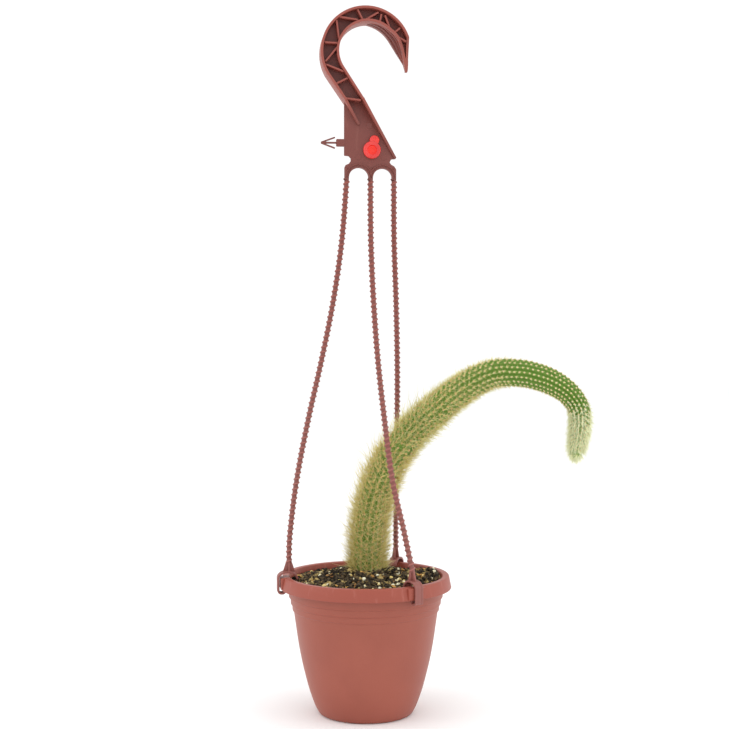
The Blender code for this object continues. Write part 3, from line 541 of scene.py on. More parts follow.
# The skin is a grid whose rows become rings, from the buried foot to the closed tip. The rings
# beyond each end have a shift along the stem and a share of its radius.
foot_rings = [(-BURIED, 0.5), (-BURIED, 0.86), (-BURIED * 0.6, 0.93), (-BURIED * 0.15, 0.97)]
tip_rings = [(0.25, 0.95), (0.48, 0.85), (0.68, 0.69), (0.84, 0.50), (0.94, 0.30), (0.985, 0.14), (1.0, 0.01)]
columns = RIBS * SIDES_PER_RIB
theta = np.arange(columns + 1) * math.tau / columns
rib_place = np.arange(columns + 1) / SIDES_PER_RIB
crest = np.cos(math.pi * (rib_place - np.round(rib_place))) ** 2
rib_phase = np.round(rib_place) * RIB_STAGGER / RIBS
rows = []
for shift, wide in foot_rings:
    reach = stem_radius[0] * wide * np.ones(columns + 1)
    rows.append((stem_centre[0] + stem_along[0] * shift, reach, 0))
for row in range(STEM_ROWS):
    relief = min(stem_radius[row] / FULL_RIBS_RADIUS, 1)
    bump = 0.5 + 0.5 * np.cos(math.tau * (areole_count[row] + rib_phase))
    reach = stem_radius[row] - RIB_DEPTH * relief * (1 - crest**0.8)
    reach = reach + TUBERCLE_RISE * crest * (bump - 0.3)
    rows.append((stem_centre[row], reach, row))
for forward, wide in tip_rings:
    reach = stem_radius[-1] * wide * (1 - 0.1 * (1 - crest))
    rows.append((stem_centre[-1] + stem_along[-1] * stem_radius[-1] * forward, reach, STEM_ROWS - 1))
stem = primitive(bpy.ops.mesh.primitive_grid_add, "stem_skin", x_subdivisions=columns,
                 y_subdivisions=len(rows) - 1, size=1)
places = []
for centre, reach, row in rows:
    out = stem_across[row] * np.cos(theta)[:, None] + stem_up[row] * np.sin(theta)[:, None]
    places.append(centre + out * reach[:, None])
stem.data.vertices.foreach_set("co", np.vstack(places).astype(np.float32).ravel())
mark(stem, "share", np.repeat([stem_share[row] for _, _, row in rows], columns + 1))
mark(stem, "crest", np.tile(crest, len(rows)))
with editing(face_out=True):
    bpy.ops.mesh.remove_doubles(threshold=0.00001)
    bpy.ops.mesh.select_all(action="DESELECT")
    bpy.ops.mesh.select_non_manifold()
    bpy.ops.mesh.fill_holes(sides=0)
smooth(stem, 60)

skin_finish, skin_shader, skin_wire = new_finish(
    "cactus_skin_green", Specular_IOR_Level=0.35, Subsurface_Weight=0.08, Subsurface_Scale=0.004)
along_stem = skin_wire.marked("share")
rib_crest_painted_highlight = skin_wire.marked("crest")
skin_cloud = skin_wire.grain(90, 4)
skin_fleck = skin_wire.grain(1500, 3)
skin_green = skin_cloud.between(0.3, 0.7).mix((0.110, 0.235, 0.030), (0.160, 0.310, 0.046))
skin_green = along_stem.between(0.45, 0.70).mix(skin_green, (0.104, 0.212, 0.022))
# Painted light: the rib crests are lighter, leaving the grooves between the ribs darker, as light and shade
# fall across the ribs.
skin_green = (0.45 * rib_crest_painted_highlight).mix(skin_green, (0.185, 0.300, 0.048))
skin_green = (0.8 * along_stem.between(0.88, 0.97)).mix(skin_green, (0.320, 0.430, 0.140))
skin_green = (skin_fleck.between(0.62, 0.8) * 0.4).mix(skin_green, (0.24, 0.32, 0.11))
feed(skin_shader, Base_Color=skin_green, Roughness=0.48 + 0.2 * skin_cloud, Bump=(skin_fleck, 0.00012))
stem.data.materials.append(skin_finish)
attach(stem, "root")
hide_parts("cactus_stem")

# Areoles.
# A round cushion of cream felt on each tubercle, from which the spines grow: larger and browner
# below, where the spines are dense, and small, pale and clear to see on the arch.
AREOLE_SIZE = 0.0014
AREOLE_EXTRA = 0.0004
AREOLE_LENGTH = 1.2
AREOLE_THICKNESS = 0.7
AREOLE_SHRINK = 0.12
AREOLE_SCATTER = (0.00016, 0.00022)

areole_pattern = primitive(bpy.ops.mesh.primitive_ico_sphere_add, "areole", subdivisions=1, radius=0.5)
with editing():
    bpy.ops.transform.resize(value=(1, 1, AREOLE_THICKNESS), center_override=(0, 0, 0))
hair_random = np.random.default_rng(9)
areoles, areole_places = [], []
for rib in range(RIBS):
    angle = math.tau * rib / RIBS
    phase = (rib * RIB_STAGGER / RIBS) % 1
    for turn in np.arange(-phase, areole_count[-1] - 0.2, 1.0):
        place = np.interp(turn, areole_count, np.arange(STEM_ROWS))
        row = int(round(place))
        run = np.interp(place, np.arange(STEM_ROWS), stem_run)
        centre = np.array([np.interp(run, stem_run, column) for column in stem_centre.T])
        centre = centre + stem_along[0] * min(turn, 0) * AREOLE_SPACING
        out = stem_across[row] * math.cos(angle) + stem_up[row] * math.sin(angle)
        low_down = 1 - min(max((stem_share[row] - ARCH_START) / AREOLE_SHRINK, 0), 1)
        root = centre + out * (stem_radius[row] + TUBERCLE_RISE * 0.7 + AREOLE_EXTRA * low_down)
        side = np.cross(stem_along[row], out)
        root = root + side * hair_random.normal(0, AREOLE_SCATTER[0])
        root = root + stem_along[row] * hair_random.normal(0, AREOLE_SCATTER[1])
        areoles.append((root, out, stem_along[row], side, stem_share[row]))
        size = AREOLE_SIZE + AREOLE_EXTRA * low_down
        matrix = np.eye(4)
        matrix[:3, :3] = np.stack([side * size, stem_along[row] * size * AREOLE_LENGTH, out * size], axis=1)
        matrix[:3, 3] = root
        areole_places.append((0, matrix))
areole_felt = copies_of("areole_felt", [areole_pattern], areole_places)
smooth(areole_felt, 60)
felt_finish, felt_shader, felt_wire = new_finish("areole_felt", Roughness=0.95, Specular_IOR_Level=0.1)
felt_grain = felt_wire.grain(1800, 3)
felt_colour = felt_wire.place(0).between(0.05, 0.100).mix((0.72, 0.47, 0.21), (0.72, 0.57, 0.31))
felt_colour = felt_grain.between(0.5, 0.8).mix(felt_colour, (0.80, 0.74, 0.52))
feed(felt_shader, Base_Color=felt_colour, Bump=(felt_grain, 0.0002))
areole_felt.data.materials.append(felt_finish)
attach(areole_felt, "root")

# Bristles and hair.
# Fine golden spines from every areole, some lying round it and some standing: long below, mere
# stubs on the arch, and soft white hair at the tip. Each is three-sided and bends a little.
# The strands' routes (mm), from the plate down to the clips: no spine crosses a strand.
STRAND_ROUTES = {
    "left": (
        (-14.2, -1.5, -116.1), (-17.7, -2.2, -160.5), (-24.0, -3.2, -205.1), (-32.8, -4.6, -249.5),
        (-42.7, -6.3, -293.8), (-51.1, -7.9, -337.9), (-55.9, -8.8, -376.5), (-56.7, -9.0, -395.8),
    ),
    "front": (
        (3.5, 0.4, -116.1), (3.8, -4.5, -160.7), (5.7, -10.4, -205.2), (8.9, -17.8, -249.1),
        (13.6, -25.3, -292.3), (19.2, -34.2, -334.8), (26.9, -42.3, -369.0), (32.6, -47.0, -395.8),
    ),
    "rear": (
        (20.8, 2.2, -116.1), (21.1, 7.4, -160.1), (22.7, 14.1, -204.9), (23.8, 22.3, -250.3),
        (23.9, 31.2, -296.4), (23.3, 40.8, -343.5), (23.3, 49.0, -380.5), (23.4, 52.4, -395.8),
    ),
}
strand_points = np.vstack([smooth_line(route, 160)[:, :3] / 1000 for route in STRAND_ROUTES.values()])
# How the spines change along the stem. Each row: share of the stem; spines lying round an
# areole, their shortest and longest (mm); spines standing on it, their shortest and longest.
SPINE_TABLE = np.array([
    (0.00, 13, 4.6, 8.0, 8, 6.8, 12.0), (0.14, 13, 4.2, 7.2, 8, 6.0, 10.6), (0.34, 13, 3.8, 6.4, 8, 5.4, 9.4),
    (0.45, 13, 3.4, 5.8, 8, 4.8, 8.2), (0.54, 12, 2.8, 4.8, 7, 3.8, 6.4), (0.62, 9, 2.0, 3.4, 5, 3.0, 5.2),
    (0.67, 8, 1.4, 2.4, 4, 2.2, 4.2), (0.71, 7, 0.9, 1.7, 2, 1.3, 2.6), (0.86, 7, 0.9, 1.7, 2, 1.2, 2.2),
    (0.89, 7, 1.6, 3.0, 4, 2.2, 4.0), (0.92, 9, 3.0, 5.4, 7, 3.6, 6.4), (1.10, 11, 3.4, 6.0, 8, 3.8, 6.4),
]).T
# How far a spine leans towards the tip, against its rise from the skin and its spread to all sides.
LYING_LEAN, LYING_RISE, LYING_SPREAD = 0.40, 0.45, 1.2
STANDING_LEAN, STANDING_RISE, STANDING_SPREAD = 0.70, 1.0, 0.55
STRAY_LEAN, STRAY_RISE, STRAY_SPREAD = 1.2, 0.9, 0.5
TIP_LEAN, TIP_HAIR_START, TIP_HAIR_CHANGE = 0.65, 0.86, 0.05
# Long strays stand out at the left and right of the lower stem (mm).
STRAYS = 3.2
STRAY_SPAN = 0.46
STRAY_SHORTEST, STRAY_LONGEST_LEFT, STRAY_LONGEST_RIGHT = 8.0, 20.0, 13.0
SPINE_RADIUS = 0.00014
HAIR_RADIUS = 0.00013
STRAY_RADIUS = 0.00017
SPINE_SINK = 0.0003
SPINE_BEND = 0.14
SPINE_WAIST = 0.8
STRAND_ROOM = 0.0030
# Each piece of spines: where it starts and ends, as a share of the stem.
BRISTLE_PIECES = {"bristles_lower": (-1, 0.34), "bristles_middle": (0.34, 0.855), "tip_hair": (0.855, 2)}
# The colours of a spine's root, middle and end.
BRISTLE_COLOURS = {
    "bristles_lower": ((0.40, 0.31, 0.07), (0.74, 0.62, 0.20), (0.92, 0.86, 0.48)),
    "bristles_middle": ((0.38, 0.33, 0.08), (0.70, 0.62, 0.20), (0.90, 0.86, 0.48)),
    "tip_hair": ((0.58, 0.64, 0.28), (0.86, 0.88, 0.54), (0.96, 0.96, 0.74)),
}
TIP_ROOTS = ((0.30, 0.95), (0.70, 0.68), (0.92, 0.32))

# Roots for the hair on the rounded tip: every second rib, in three rings.
for forward, wide in TIP_ROOTS:
    for rib in range(0, RIBS, 2):
        angle = math.tau * (rib + forward) / RIBS
        out = stem_across[-1] * math.cos(angle) + stem_up[-1] * math.sin(angle)
        root = stem_centre[-1] + (stem_along[-1] * forward + out * wide * 0.97) * stem_radius[-1]
        out = unit(out * wide + stem_along[-1] * forward)
        areoles.append((root, out, stem_along[-1], np.cross(stem_along[-1], out), 1.0))


def bristle_piece(name, start, end):
    """The spines of one stretch of stem, marked with how far out each point is and each spine's tone."""
    roots, ways, bends, lengths, thick = [], [], [], [], []
    spine_radius = HAIR_RADIUS if name == "tip_hair" else SPINE_RADIUS
    for root, out, along, side, share in areoles:
        near = share + hair_random.normal(0, 0.008)
        if not start <= near < end:
            continue
        lying, short, long, standing, short_up, long_up = (
            np.interp(near, SPINE_TABLE[0], column) for column in SPINE_TABLE[1:])
        lean = TIP_LEAN * min(max((near - TIP_HAIR_START) / TIP_HAIR_CHANGE, 0), 1)
        strays = STRAYS * abs(out[0]) ** 2 if near < STRAY_SPAN else 0
        stray_longest = STRAY_LONGEST_LEFT if out[0] < 0 else STRAY_LONGEST_RIGHT
        for count, low, high, forward, rise, spread, wide in (
            (lying, short, long, LYING_LEAN + lean, LYING_RISE, LYING_SPREAD, spine_radius),
            (standing, short_up, long_up, STANDING_LEAN + lean, STANDING_RISE, STANDING_SPREAD, spine_radius),
            (strays, STRAY_SHORTEST, stray_longest, STRAY_LEAN, STRAY_RISE, STRAY_SPREAD, STRAY_RADIUS),
        ):
            count = int(count + hair_random.random())
            turn = hair_random.uniform(0, math.tau, count)[:, None]
            flat = np.cos(turn) * along + np.sin(turn) * side
            way = out * rise + flat * spread * hair_random.uniform(0.4, 1.1, (count, 1))
            way = way + along * forward * hair_random.uniform(0.4, 1.2, (count, 1))
            length = hair_random.uniform(low, high, count)
            roots.append(np.repeat((root - out * SPINE_SINK)[None], count, 0))
            ways.append(unit(way))
            bends.append(unit(unit(way) + along * 0.2 + hair_random.normal(0, SPINE_BEND, (count, 3))))
            lengths.append(length / 1000)
            thick.append(np.full(count, wide))
    roots, ways, bends = np.vstack(roots), np.vstack(ways), np.vstack(bends)
    halves, thick = np.concatenate(lengths)[:, None] * 0.5, np.concatenate(thick)[:, None]
    middles = roots + ways * halves
    ends = middles + bends * halves
    nearest = np.full(len(ends), 1.0)
    for chunk in np.array_split(strand_points, 24):
        for share in (0.5, 1.0):
            between = roots + (ends - roots) * share
            nearest = np.minimum(nearest, np.linalg.norm(between[:, None] - chunk[None], axis=2).min(1))
    kept = nearest > STRAND_ROOM
    roots, ways, middles, ends, thick = roots[kept], ways[kept], middles[kept], ends[kept], thick[kept]
    side = unit(np.cross(ways, (0.31, 0.87, 0.39)))
    other = np.cross(ways, side)
    turns = (0, math.tau / 3, 2 * math.tau / 3)
    corners = [(side * math.cos(angle) + other * math.sin(angle)) * thick for angle in turns]
    points = [roots + corner for corner in corners] + [middles + corner * SPINE_WAIST for corner in corners]
    points = np.stack([*points, ends], axis=1)
    count = len(points)
    base = (np.arange(count) * 7)[:, None]
    quads = np.concatenate([base + np.array(q) for q in ((0, 1, 4, 3), (1, 2, 5, 4), (2, 0, 3, 5))])
    tips = np.concatenate([base + np.array(t) for t in ((3, 4, 6), (4, 5, 6), (5, 3, 6))])
    caps = base + np.array((2, 1, 0))
    mesh = bpy.data.meshes.new(name)
    mesh.from_pydata(points.reshape(-1, 3).tolist(), [], quads.tolist() + tips.tolist() + caps.tolist())
    piece = new_object(name, mesh)
    mark(piece, "reach", np.tile([0, 0, 0, 0.5, 0.5, 0.5, 1.0], count))
    mark(piece, "tone", np.repeat(hair_random.random(count), 7))
    smooth(piece, 80)
    return piece


for bristle_name, stretch in BRISTLE_PIECES.items():
    bristles = bristle_piece(bristle_name, *stretch)
    bristle_finish, bristle_shader, bristle_wire = new_finish(
        bristle_name, Roughness=0.5, Specular_IOR_Level=0.25)
    root_colour, middle_colour, end_colour = BRISTLE_COLOURS[bristle_name]
    reach = bristle_wire.marked("reach")
    tone = bristle_wire.marked("tone")
    bristle_colour = reach.node("ValToRGB", {0: reach}, stops=(
        (0.0, root_colour), (1.0, end_colour), (0.35, middle_colour)))
    darker = tuple(part * 0.6 for part in middle_colour)
    bristle_colour = (tone.between(0.55, 1.0) * 0.8).mix(bristle_colour, darker)
    bristle_colour = ((1 - tone.between(0.0, 0.35)) * 0.6).mix(bristle_colour, end_colour)
    feed(bristle_shader, Base_Color=bristle_colour)
    bristles.data.materials.append(bristle_finish)
    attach(bristles, "root")

# Hook and plate.
# The upper half of the moulded plastic hanger: two deep flanges round a thin web, stiffened by
# slanting ribs, run down into a flat plate with side notches, two arches and a barbed tag.
# Outlines are x and z in the moulding's own plane (mm), which is turned by the yaw (degrees).
HOOK_YAW = 6
HOOK_DEPTH = 0.0180
FLANGE = 1.8
WEB_DEPTH = 0.0020
PLATE_DEPTH = 0.0024
OUTER_ARC = ((-0.43, -22.15), 33.54)
INNER_ARC = ((1.25, -21.69), 21.7)
# Where the outer and inner arcs end at the beak, and where both run into the shank (degrees).
BEAK_CORNER, THROAT, SHANK_ANGLE = 19, 52, 210
THROAT_LINE = ((28.9, -33.7), (27.9, -28.8), (26.9, -24.6), (25.9, -20.7), (24.8, -17.3), (23.7, -14.4),
               (22.3, -11.9), (20.8, -9.9), (19.0, -8.1), (17.0, -6.4))
BEAK_TIP = (30.9, -35.7)
BEAK_WEDGE = ((31.2, -27.5), (31.15, -33.5), (31.0, -34.9), (30.6, -36.0), (30.1, -35.8), (28.9, -33.7),
              (28.2, -30.6), (27.6, -27.5))
# The bearing side is fuller in its rear half: its own line from the top of the bight to the beak.
LIP_LINE = ((1.0, -0.1), (3.3, -0.7), (5.6, -1.5), (8.0, -2.6), (10.1, -3.9), (12.2, -5.4), (14.1, -7.2),
            (16.0, -9.3), (17.7, -11.7), (19.0, -13.9), (20.3, -16.2), (23.0, -21.1), (25.8, -25.8),
            (28.4, -30.6))
LIP_BACKING = 0.9
LIP_BEVEL = 0.0006
# The lip and the beak's wedge stop just inside the flanges.
LIP_INSET, WEDGE_INSET = 0.00015, 0.0001
# The lip grows in steps: share of its fullness, and the depth at which that step starts.
LIP_STEPS = ((0.35, -0.0040), (0.70, -0.0005), (1.0, 0.0030))
# The beak narrows below this height and right of this line, to this share of its depth.
TAPER_TOP, TAPER_LEFT, TAPER_END = -0.0125, 0.010, 0.2
TAPER_MARGIN = 0.003
SHANK_FEET = ((-16.0, -58.5), (-2.0, -56.5))
FREE_RIB = ((-15.7, -57.4), (-5.4, -75.1))
EDGE_RIB = ((-3.1, -56.0), (21.9, -99.7))
# Share of its depth that each long rib keeps at its lower end.
FREE_RIB_END, EDGE_RIB_END = 0.35, 0.25
HOOK_RIBS = (
    (-15.6, -56.7, -4.5, -57.9), (-22.4, -46.0, -14.0, -41.7), (-30.0, -32.2, -17.0, -37.1),
    (-30.5, -30.0, -21.9, -19.5), (-31.1, -16.0, -21.4, -16.4), (-22.4, 0.5, -20.5, -13.3),
    (-20.5, 2.9, -6.7, 0.9), (-6.9, 8.6, -3.2, 1.3), (8.6, 6.8, -1.0, 1.1), (10.8, 5.6, 9.6, -0.4),
    (13.5, 4.6, 16.8, -4.7), (24.6, -4.4, 20.2, -8.1), (21.9, -10.3, 29.2, -14.3),
)
HOOK_RIB_WIDTH = 1.3
HOOK_RIB_DEPTH = 0.0164
LONG_RIB_DEPTH = 0.0172
WEB_OVERLAP = 0.6
STRAND_ROOTS = (-14.3, 3.5, 20.95)
STRAND_CORE = 0.0017
ROOT_LENGTH = 0.0086
ROOT_Z = -115.7
ARCHES = ((-5.4, -114.1, 7.2), (12.25, -114.3, 7.0))
# Beads round each arch: inner and outer distance from its edge (mm), and half their depth.
ARCH_BEADS = ((0.1, 3.0, 0.0017), (0.05, 0.95, 0.0023), (2.2, 3.05, 0.0023))
LEFT_NOTCH = ((-16.2, -97.9), (-12.8, -98.3), (-11.3, -100.0), (-11.3, -101.9), (-12.7, -103.8),
              (-15.2, -104.9))
RIGHT_NOTCH = ((21.2, -105.5), (18.7, -104.1), (17.7, -102.4), (18.9, -100.3))
PLATE_TOP = ((22.3, -100.0), (-2.6, -56.7), (-14.5, -55.5), (-16.2, -58.7))
PLATE_SHOULDERS = -106.9
EJECTOR_MARKS = ((-5.65, -98.8), (13.2, -99.1), (2.5, -75.6))
EJECTOR_RADIUS = 0.0021
EJECTOR_RISE = 0.0003
TAG_Z = -88.5
TAG_BOSS_X = -0.0189
TAG_BOSS = (0.0064, 0.0032, 0.0056)
TAG_SHAFT = (-21.6, -33.4)
TAG_SHAFT_WIDTH, TAG_SHAFT_DEPTH = 1.4, 0.0016
TAG_BARB = (-33.3, -22.9)
TAG_BARB_RISE = 4.0
TAG_BARB_WIDTH, TAG_BARB_DEPTH = 1.2, 0.0014
TAG_BARB_MEETING = 0.04
TAG_EDGE = 0.0004
MOULD_EDGE = 0.00028
# For the colour's painted light: depth where the hollows, painted in shade, end; depth from there to the
# outer edges, painted as highlights; and the beak, painted almost as light as those edges.
HOLLOW_DEPTH, PROUD_DEPTH = 0.003, 0.0055
BEAK_LEFT, BEAK_FOOT, BEAK_PROUD = 0.026, -0.04, 0.9


def traced(name, outline, near, far, bevel=MOULD_EDGE):
    """A vertex extruded round an outline in x and z (mm), filled, and thickened from y = near to far."""
    points = [Vector((x / 1000, near, z / 1000)) for x, z in outline]
    points.append(points[0])
    piece = primitive(bpy.ops.mesh.primitive_plane_add, name, size=0.001, location=points[0])
    with editing(face_out=True):
        bpy.ops.mesh.merge(type="CENTER")
        for before, after in zip(points, points[1:]):
            bpy.ops.mesh.extrude_vertices_move(TRANSFORM_OT_translate={"value": after - before})
        bpy.ops.mesh.select_all(action="SELECT")
        bpy.ops.mesh.remove_doubles(threshold=0.00001)
        bpy.ops.mesh.edge_face_add()
        bpy.ops.mesh.extrude_region_move(TRANSFORM_OT_translate={"value": (0, far - near, 0)})
    if bevel:
        turn = math.radians(40)
        apply_modifier(piece, "BEVEL", width=bevel, segments=2, limit_method="ANGLE", angle_limit=turn)
    return piece


def arc(centre, radius, start, end, count):
    """Points on an arc from one angle to another, in degrees."""
    turns = np.radians(np.linspace(start, end, count + 1))
    return [(centre[0] + radius * math.cos(t), centre[1] + radius * math.sin(t)) for t in turns]


def beside(path, distance):
    """The path moved sideways, to its left for a positive distance."""
    points = np.array(path)
    run = np.vstack([points[1:2] - points[:1], points[2:] - points[:-2], points[-1:] - points[-2:-1]])
    run = run / np.linalg.norm(run, axis=1, keepdims=True)
    return [tuple(p) for p in points + np.stack([-run[:, 1], run[:, 0]], axis=1) * distance]


def strip(path, left, right):
    """The outline of a band along the path, this far to its left and right."""
    return beside(path, left) + beside(path, -right)[::-1]


def bar(name, start, end, width, depth, bevel=MOULD_EDGE):
    """A straight bevelled rib between two points of the x z plane, in millimetres."""
    run = Vector((end[0] - start[0], end[1] - start[1])) / 1000
    middle = ((start[0] + end[0]) / 2000, 0, (start[1] + end[1]) / 2000)
    return block(name, middle, (run.length, depth, width / 1000), (0, -math.atan2(run.y, run.x), 0), bevel)


def joined(name, pieces):
    """All the pieces as one object."""
    select_only(pieces[0])
    for piece in pieces:
        piece.select_set(True)
    bpy.ops.object.join()
    bpy.context.object.name = name
    return bpy.context.object


def fading_rib(name, ends, last):
    """A long rib of the plate, whose depth fades from its upper to its lower end to the last share."""
    rib = bar(name, *ends, FLANGE, LONG_RIB_DEPTH)
    top, bottom = ends[0][1] / 1000, ends[1][1] / 1000
    for vertex in rib.data.vertices:
        share = min(max((top - vertex.co.z) / (top - bottom), 0), 1)
        vertex.co.y *= 1 + (last - 1) * share
    return rib


outer_path = [BEAK_TIP, *arc(*OUTER_ARC, BEAK_CORNER, SHANK_ANGLE, 48), SHANK_FEET[0]]
inner_path = [*THROAT_LINE, *arc(*INNER_ARC, THROAT, SHANK_ANGLE, 44), SHANK_FEET[1]]
half_core = STRAND_CORE * 1000
(left_x, left_z, left_r), (right_x, right_z, right_r) = ARCHES
plate_outline = [
    *PLATE_TOP, *LEFT_NOTCH, (STRAND_ROOTS[0] - half_core, PLATE_SHOULDERS),
    (STRAND_ROOTS[0] - half_core, ROOT_Z), (left_x - left_r, ROOT_Z),
    *arc((left_x, left_z), left_r, 180, 0, 20), (left_x + left_r, ROOT_Z), (right_x - right_r, ROOT_Z),
    *arc((right_x, right_z), right_r, 180, 0, 20), (right_x + right_r, ROOT_Z),
    (STRAND_ROOTS[2] + half_core, ROOT_Z), (STRAND_ROOTS[2] + half_core, PLATE_SHOULDERS - 1), *RIGHT_NOTCH,
]
web_outline = beside(outer_path, WEB_OVERLAP)[1:] + beside(inner_path, -WEB_OVERLAP)[::-1]
hook_parts = [
    traced("plate", plate_outline, -PLATE_DEPTH / 2, PLATE_DEPTH / 2),
    traced("web", web_outline, -WEB_DEPTH / 2, WEB_DEPTH / 2, 0),
    traced("outer_flange", strip(outer_path, FLANGE, 0), -HOOK_DEPTH / 2, HOOK_DEPTH / 2),
    traced("inner_flange", strip(inner_path, 0, FLANGE), -HOOK_DEPTH / 2, HOOK_DEPTH / 2),
    traced("beak_wedge", BEAK_WEDGE, -HOOK_DEPTH / 2 + WEDGE_INSET, HOOK_DEPTH / 2 - WEDGE_INSET),
    fading_rib("free_rib", FREE_RIB, FREE_RIB_END),
    fading_rib("edge_rib", EDGE_RIB, EDGE_RIB_END),
]
backing = [p for p in beside(inner_path, -LIP_BACKING) if p[0] > LIP_LINE[0][0] and p[1] > BEAK_WEDGE[0][1]]
for fullness, near in LIP_STEPS:
    lip = []
    for x, z in LIP_LINE:
        over = min(backing, key=lambda p: math.dist(p, (x, z)))
        lip.append((over[0] + (x - over[0]) * fullness, over[1] + (z - over[1]) * fullness))
    hook_parts.append(traced("lip", lip + backing, near, HOOK_DEPTH / 2 - LIP_INSET, LIP_BEVEL))
for x0, z0, x1, z1 in HOOK_RIBS:
    hook_parts.append(bar("rib", (x0, z0), (x1, z1), HOOK_RIB_WIDTH, HOOK_RIB_DEPTH))
for x, z, radius in ARCHES:
    for low, high, half_depth in ARCH_BEADS:
        bead = arc((x, z), radius + low, 180, 0, 20) + arc((x, z), radius + high, 0, 180, 20)
        hook_parts.append(traced("arch_bead", bead, -half_depth, half_depth, 0.0003))
for x in STRAND_ROOTS:
    root_at = (x / 1000, 0, ROOT_Z / 1000 + ROOT_LENGTH / 2)
    hook_parts.append(rod("strand_root", 20, STRAND_CORE, ROOT_LENGTH, root_at))
for x, z in EJECTOR_MARKS:
    mark_at, lying = (x / 1000, 0, z / 1000), (math.radians(90), 0, 0)
    hook_parts.append(rod("ejector_mark", 24, EJECTOR_RADIUS, PLATE_DEPTH + EJECTOR_RISE, mark_at, lying))
hook_parts.append(block("tag_boss", (TAG_BOSS_X, 0, TAG_Z / 1000), TAG_BOSS, bevel=0.0008))
shaft = ((TAG_SHAFT[0], TAG_Z), (TAG_SHAFT[1], TAG_Z))
hook_parts.append(bar("tag_shaft", *shaft, TAG_SHAFT_WIDTH, TAG_SHAFT_DEPTH, TAG_EDGE))
for rise in (-TAG_BARB_RISE, TAG_BARB_RISE):
    barb = ((TAG_BARB[0], TAG_Z + TAG_BARB_MEETING * rise), (TAG_BARB[1], TAG_Z + rise))
    hook_parts.append(bar("tag_barb", *barb, TAG_BARB_WIDTH, TAG_BARB_DEPTH, TAG_EDGE))
hook = joined("hanger_hook", hook_parts)
for vertex in hook.data.vertices:
    x, y, z = vertex.co
    if x > TAPER_LEFT and BEAK_TIP[1] / 1000 - TAPER_MARGIN < z < TAPER_TOP:
        down = min((TAPER_TOP - z) / (TAPER_TOP - BEAK_TIP[1] / 1000), 1)
        vertex.co.y *= 1 - (1 - TAPER_END) * down
hook_depths = np.array([abs(vertex.co.y) for vertex in hook.data.vertices])
beak = np.array([vertex.co.x > BEAK_LEFT and vertex.co.z > BEAK_FOOT for vertex in hook.data.vertices])
# How proud each vertex stands: 0 in the plate's hollows and 1 on the mould's outer edges. From it the colour
# paints shade in the hollows and a highlight on the proud edges.
hook_proud = np.clip((hook_depths - HOLLOW_DEPTH) / PROUD_DEPTH, 0, 1)
mark(hook, "proud", np.maximum(hook_proud, beak * BEAK_PROUD))
hook.data.transform(Matrix.Rotation(math.radians(HOOK_YAW), 4, "Z"))
smooth(hook, 35)

hanger_finish, hanger_shader, hanger_wire = new_finish("hanger_plastic_satin", Specular_IOR_Level=0.45)
hanger_cloud = hanger_wire.grain(60, 4)
hanger_speck = hanger_wire.grain(1400, 2)
hanger_flow = hanger_wire.grain(220, 4, (1, 1, 0.2))
# Painted shade: the hanger's colours darken towards its top, where less light reaches it.
hanger_painted_top_shade = hanger_wire.place(2).between(-0.36, -0.10)
hanger_hollow_painted_shade = hanger_painted_top_shade.mix((0.205, 0.062, 0.050), (0.180, 0.046, 0.036))
hanger_crest_painted_highlight = hanger_painted_top_shade.mix((0.340, 0.115, 0.095), (0.300, 0.070, 0.050))
# Painted shade in the hollows and painted highlights on the proud edges, following the proud mark.
hanger_colour = hanger_wire.marked("proud").mix(hanger_hollow_painted_shade, hanger_crest_painted_highlight)
hanger_colour = (hanger_flow.between(0.6, 0.8) * 0.2).mix(hanger_colour, (0.38, 0.16, 0.12))
feed(
    hanger_shader,
    Base_Color=hanger_colour,
    Roughness=0.38 + 0.14 * hanger_cloud,
    Bump=(hanger_speck + 0.5 * hanger_flow, 0.00006),
)
hook.data.materials.append(hanger_finish)
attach(hook, "root")
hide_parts("hook_plate")

# Red plug.
# A bright red moulded plug that snaps through the plate: a round head with a shallow well, a small
# lobe at its edge to press with a thumb, and a barb that grips behind the plate.
PLUG_CENTRE = (4.3, -93.7)
# Radius and distance in front of the plate's middle (mm): the barb, the neck, the head and its well.
PLUG_STATIONS = (
    (3.6, -3.7), (4.4, -2.0), (5.3, -1.55), (5.1, -1.45), (4.1, -1.4), (4.05, 1.4), (4.2, 1.5), (6.1, 1.5),
    (6.45, 1.7), (6.5, 2.1), (6.45, 3.2), (6.2, 3.65), (5.7, 3.9), (4.2, 3.9), (3.75, 3.75), (3.45, 3.4),
    (3.3, 2.6), (3.2, 1.9), (2.9, 1.65), (2.4, 1.55), (1.2, 1.55),
)
LOBE_CENTRE = (6.2, -86.5)
LOBE_STATIONS = (
    (3.2, 1.5), (3.55, 1.7), (3.6, 2.0), (3.55, 3.0), (3.3, 3.35), (2.9, 3.5), (1.7, 3.5), (1.55, 3.35),
    (1.4, 3.35), (0.5, 3.4),
)
plug_head = turned_up("plug_head", 48, PLUG_STATIONS)
plug_lobe = turned_up("plug_lobe", 32, LOBE_STATIONS)
for part, (x, z) in ((plug_head, PLUG_CENTRE), (plug_lobe, LOBE_CENTRE)):
    part.data.transform(Matrix.Rotation(math.radians(90), 4, "X"))
    part.data.transform(Matrix.Translation((x / 1000, 0, z / 1000)))
plug = joined("red_plug_head", [plug_head, plug_lobe])
plug.data.transform(Matrix.Rotation(math.radians(HOOK_YAW), 4, "Z"))
smooth(plug, 40)
red_finish, red_shader, red_wire = new_finish(
    "red_plug_gloss", Specular_IOR_Level=0.5, Subsurface_Weight=0.1, Subsurface_Scale=0.002)
red_cloud = red_wire.grain(150, 3)
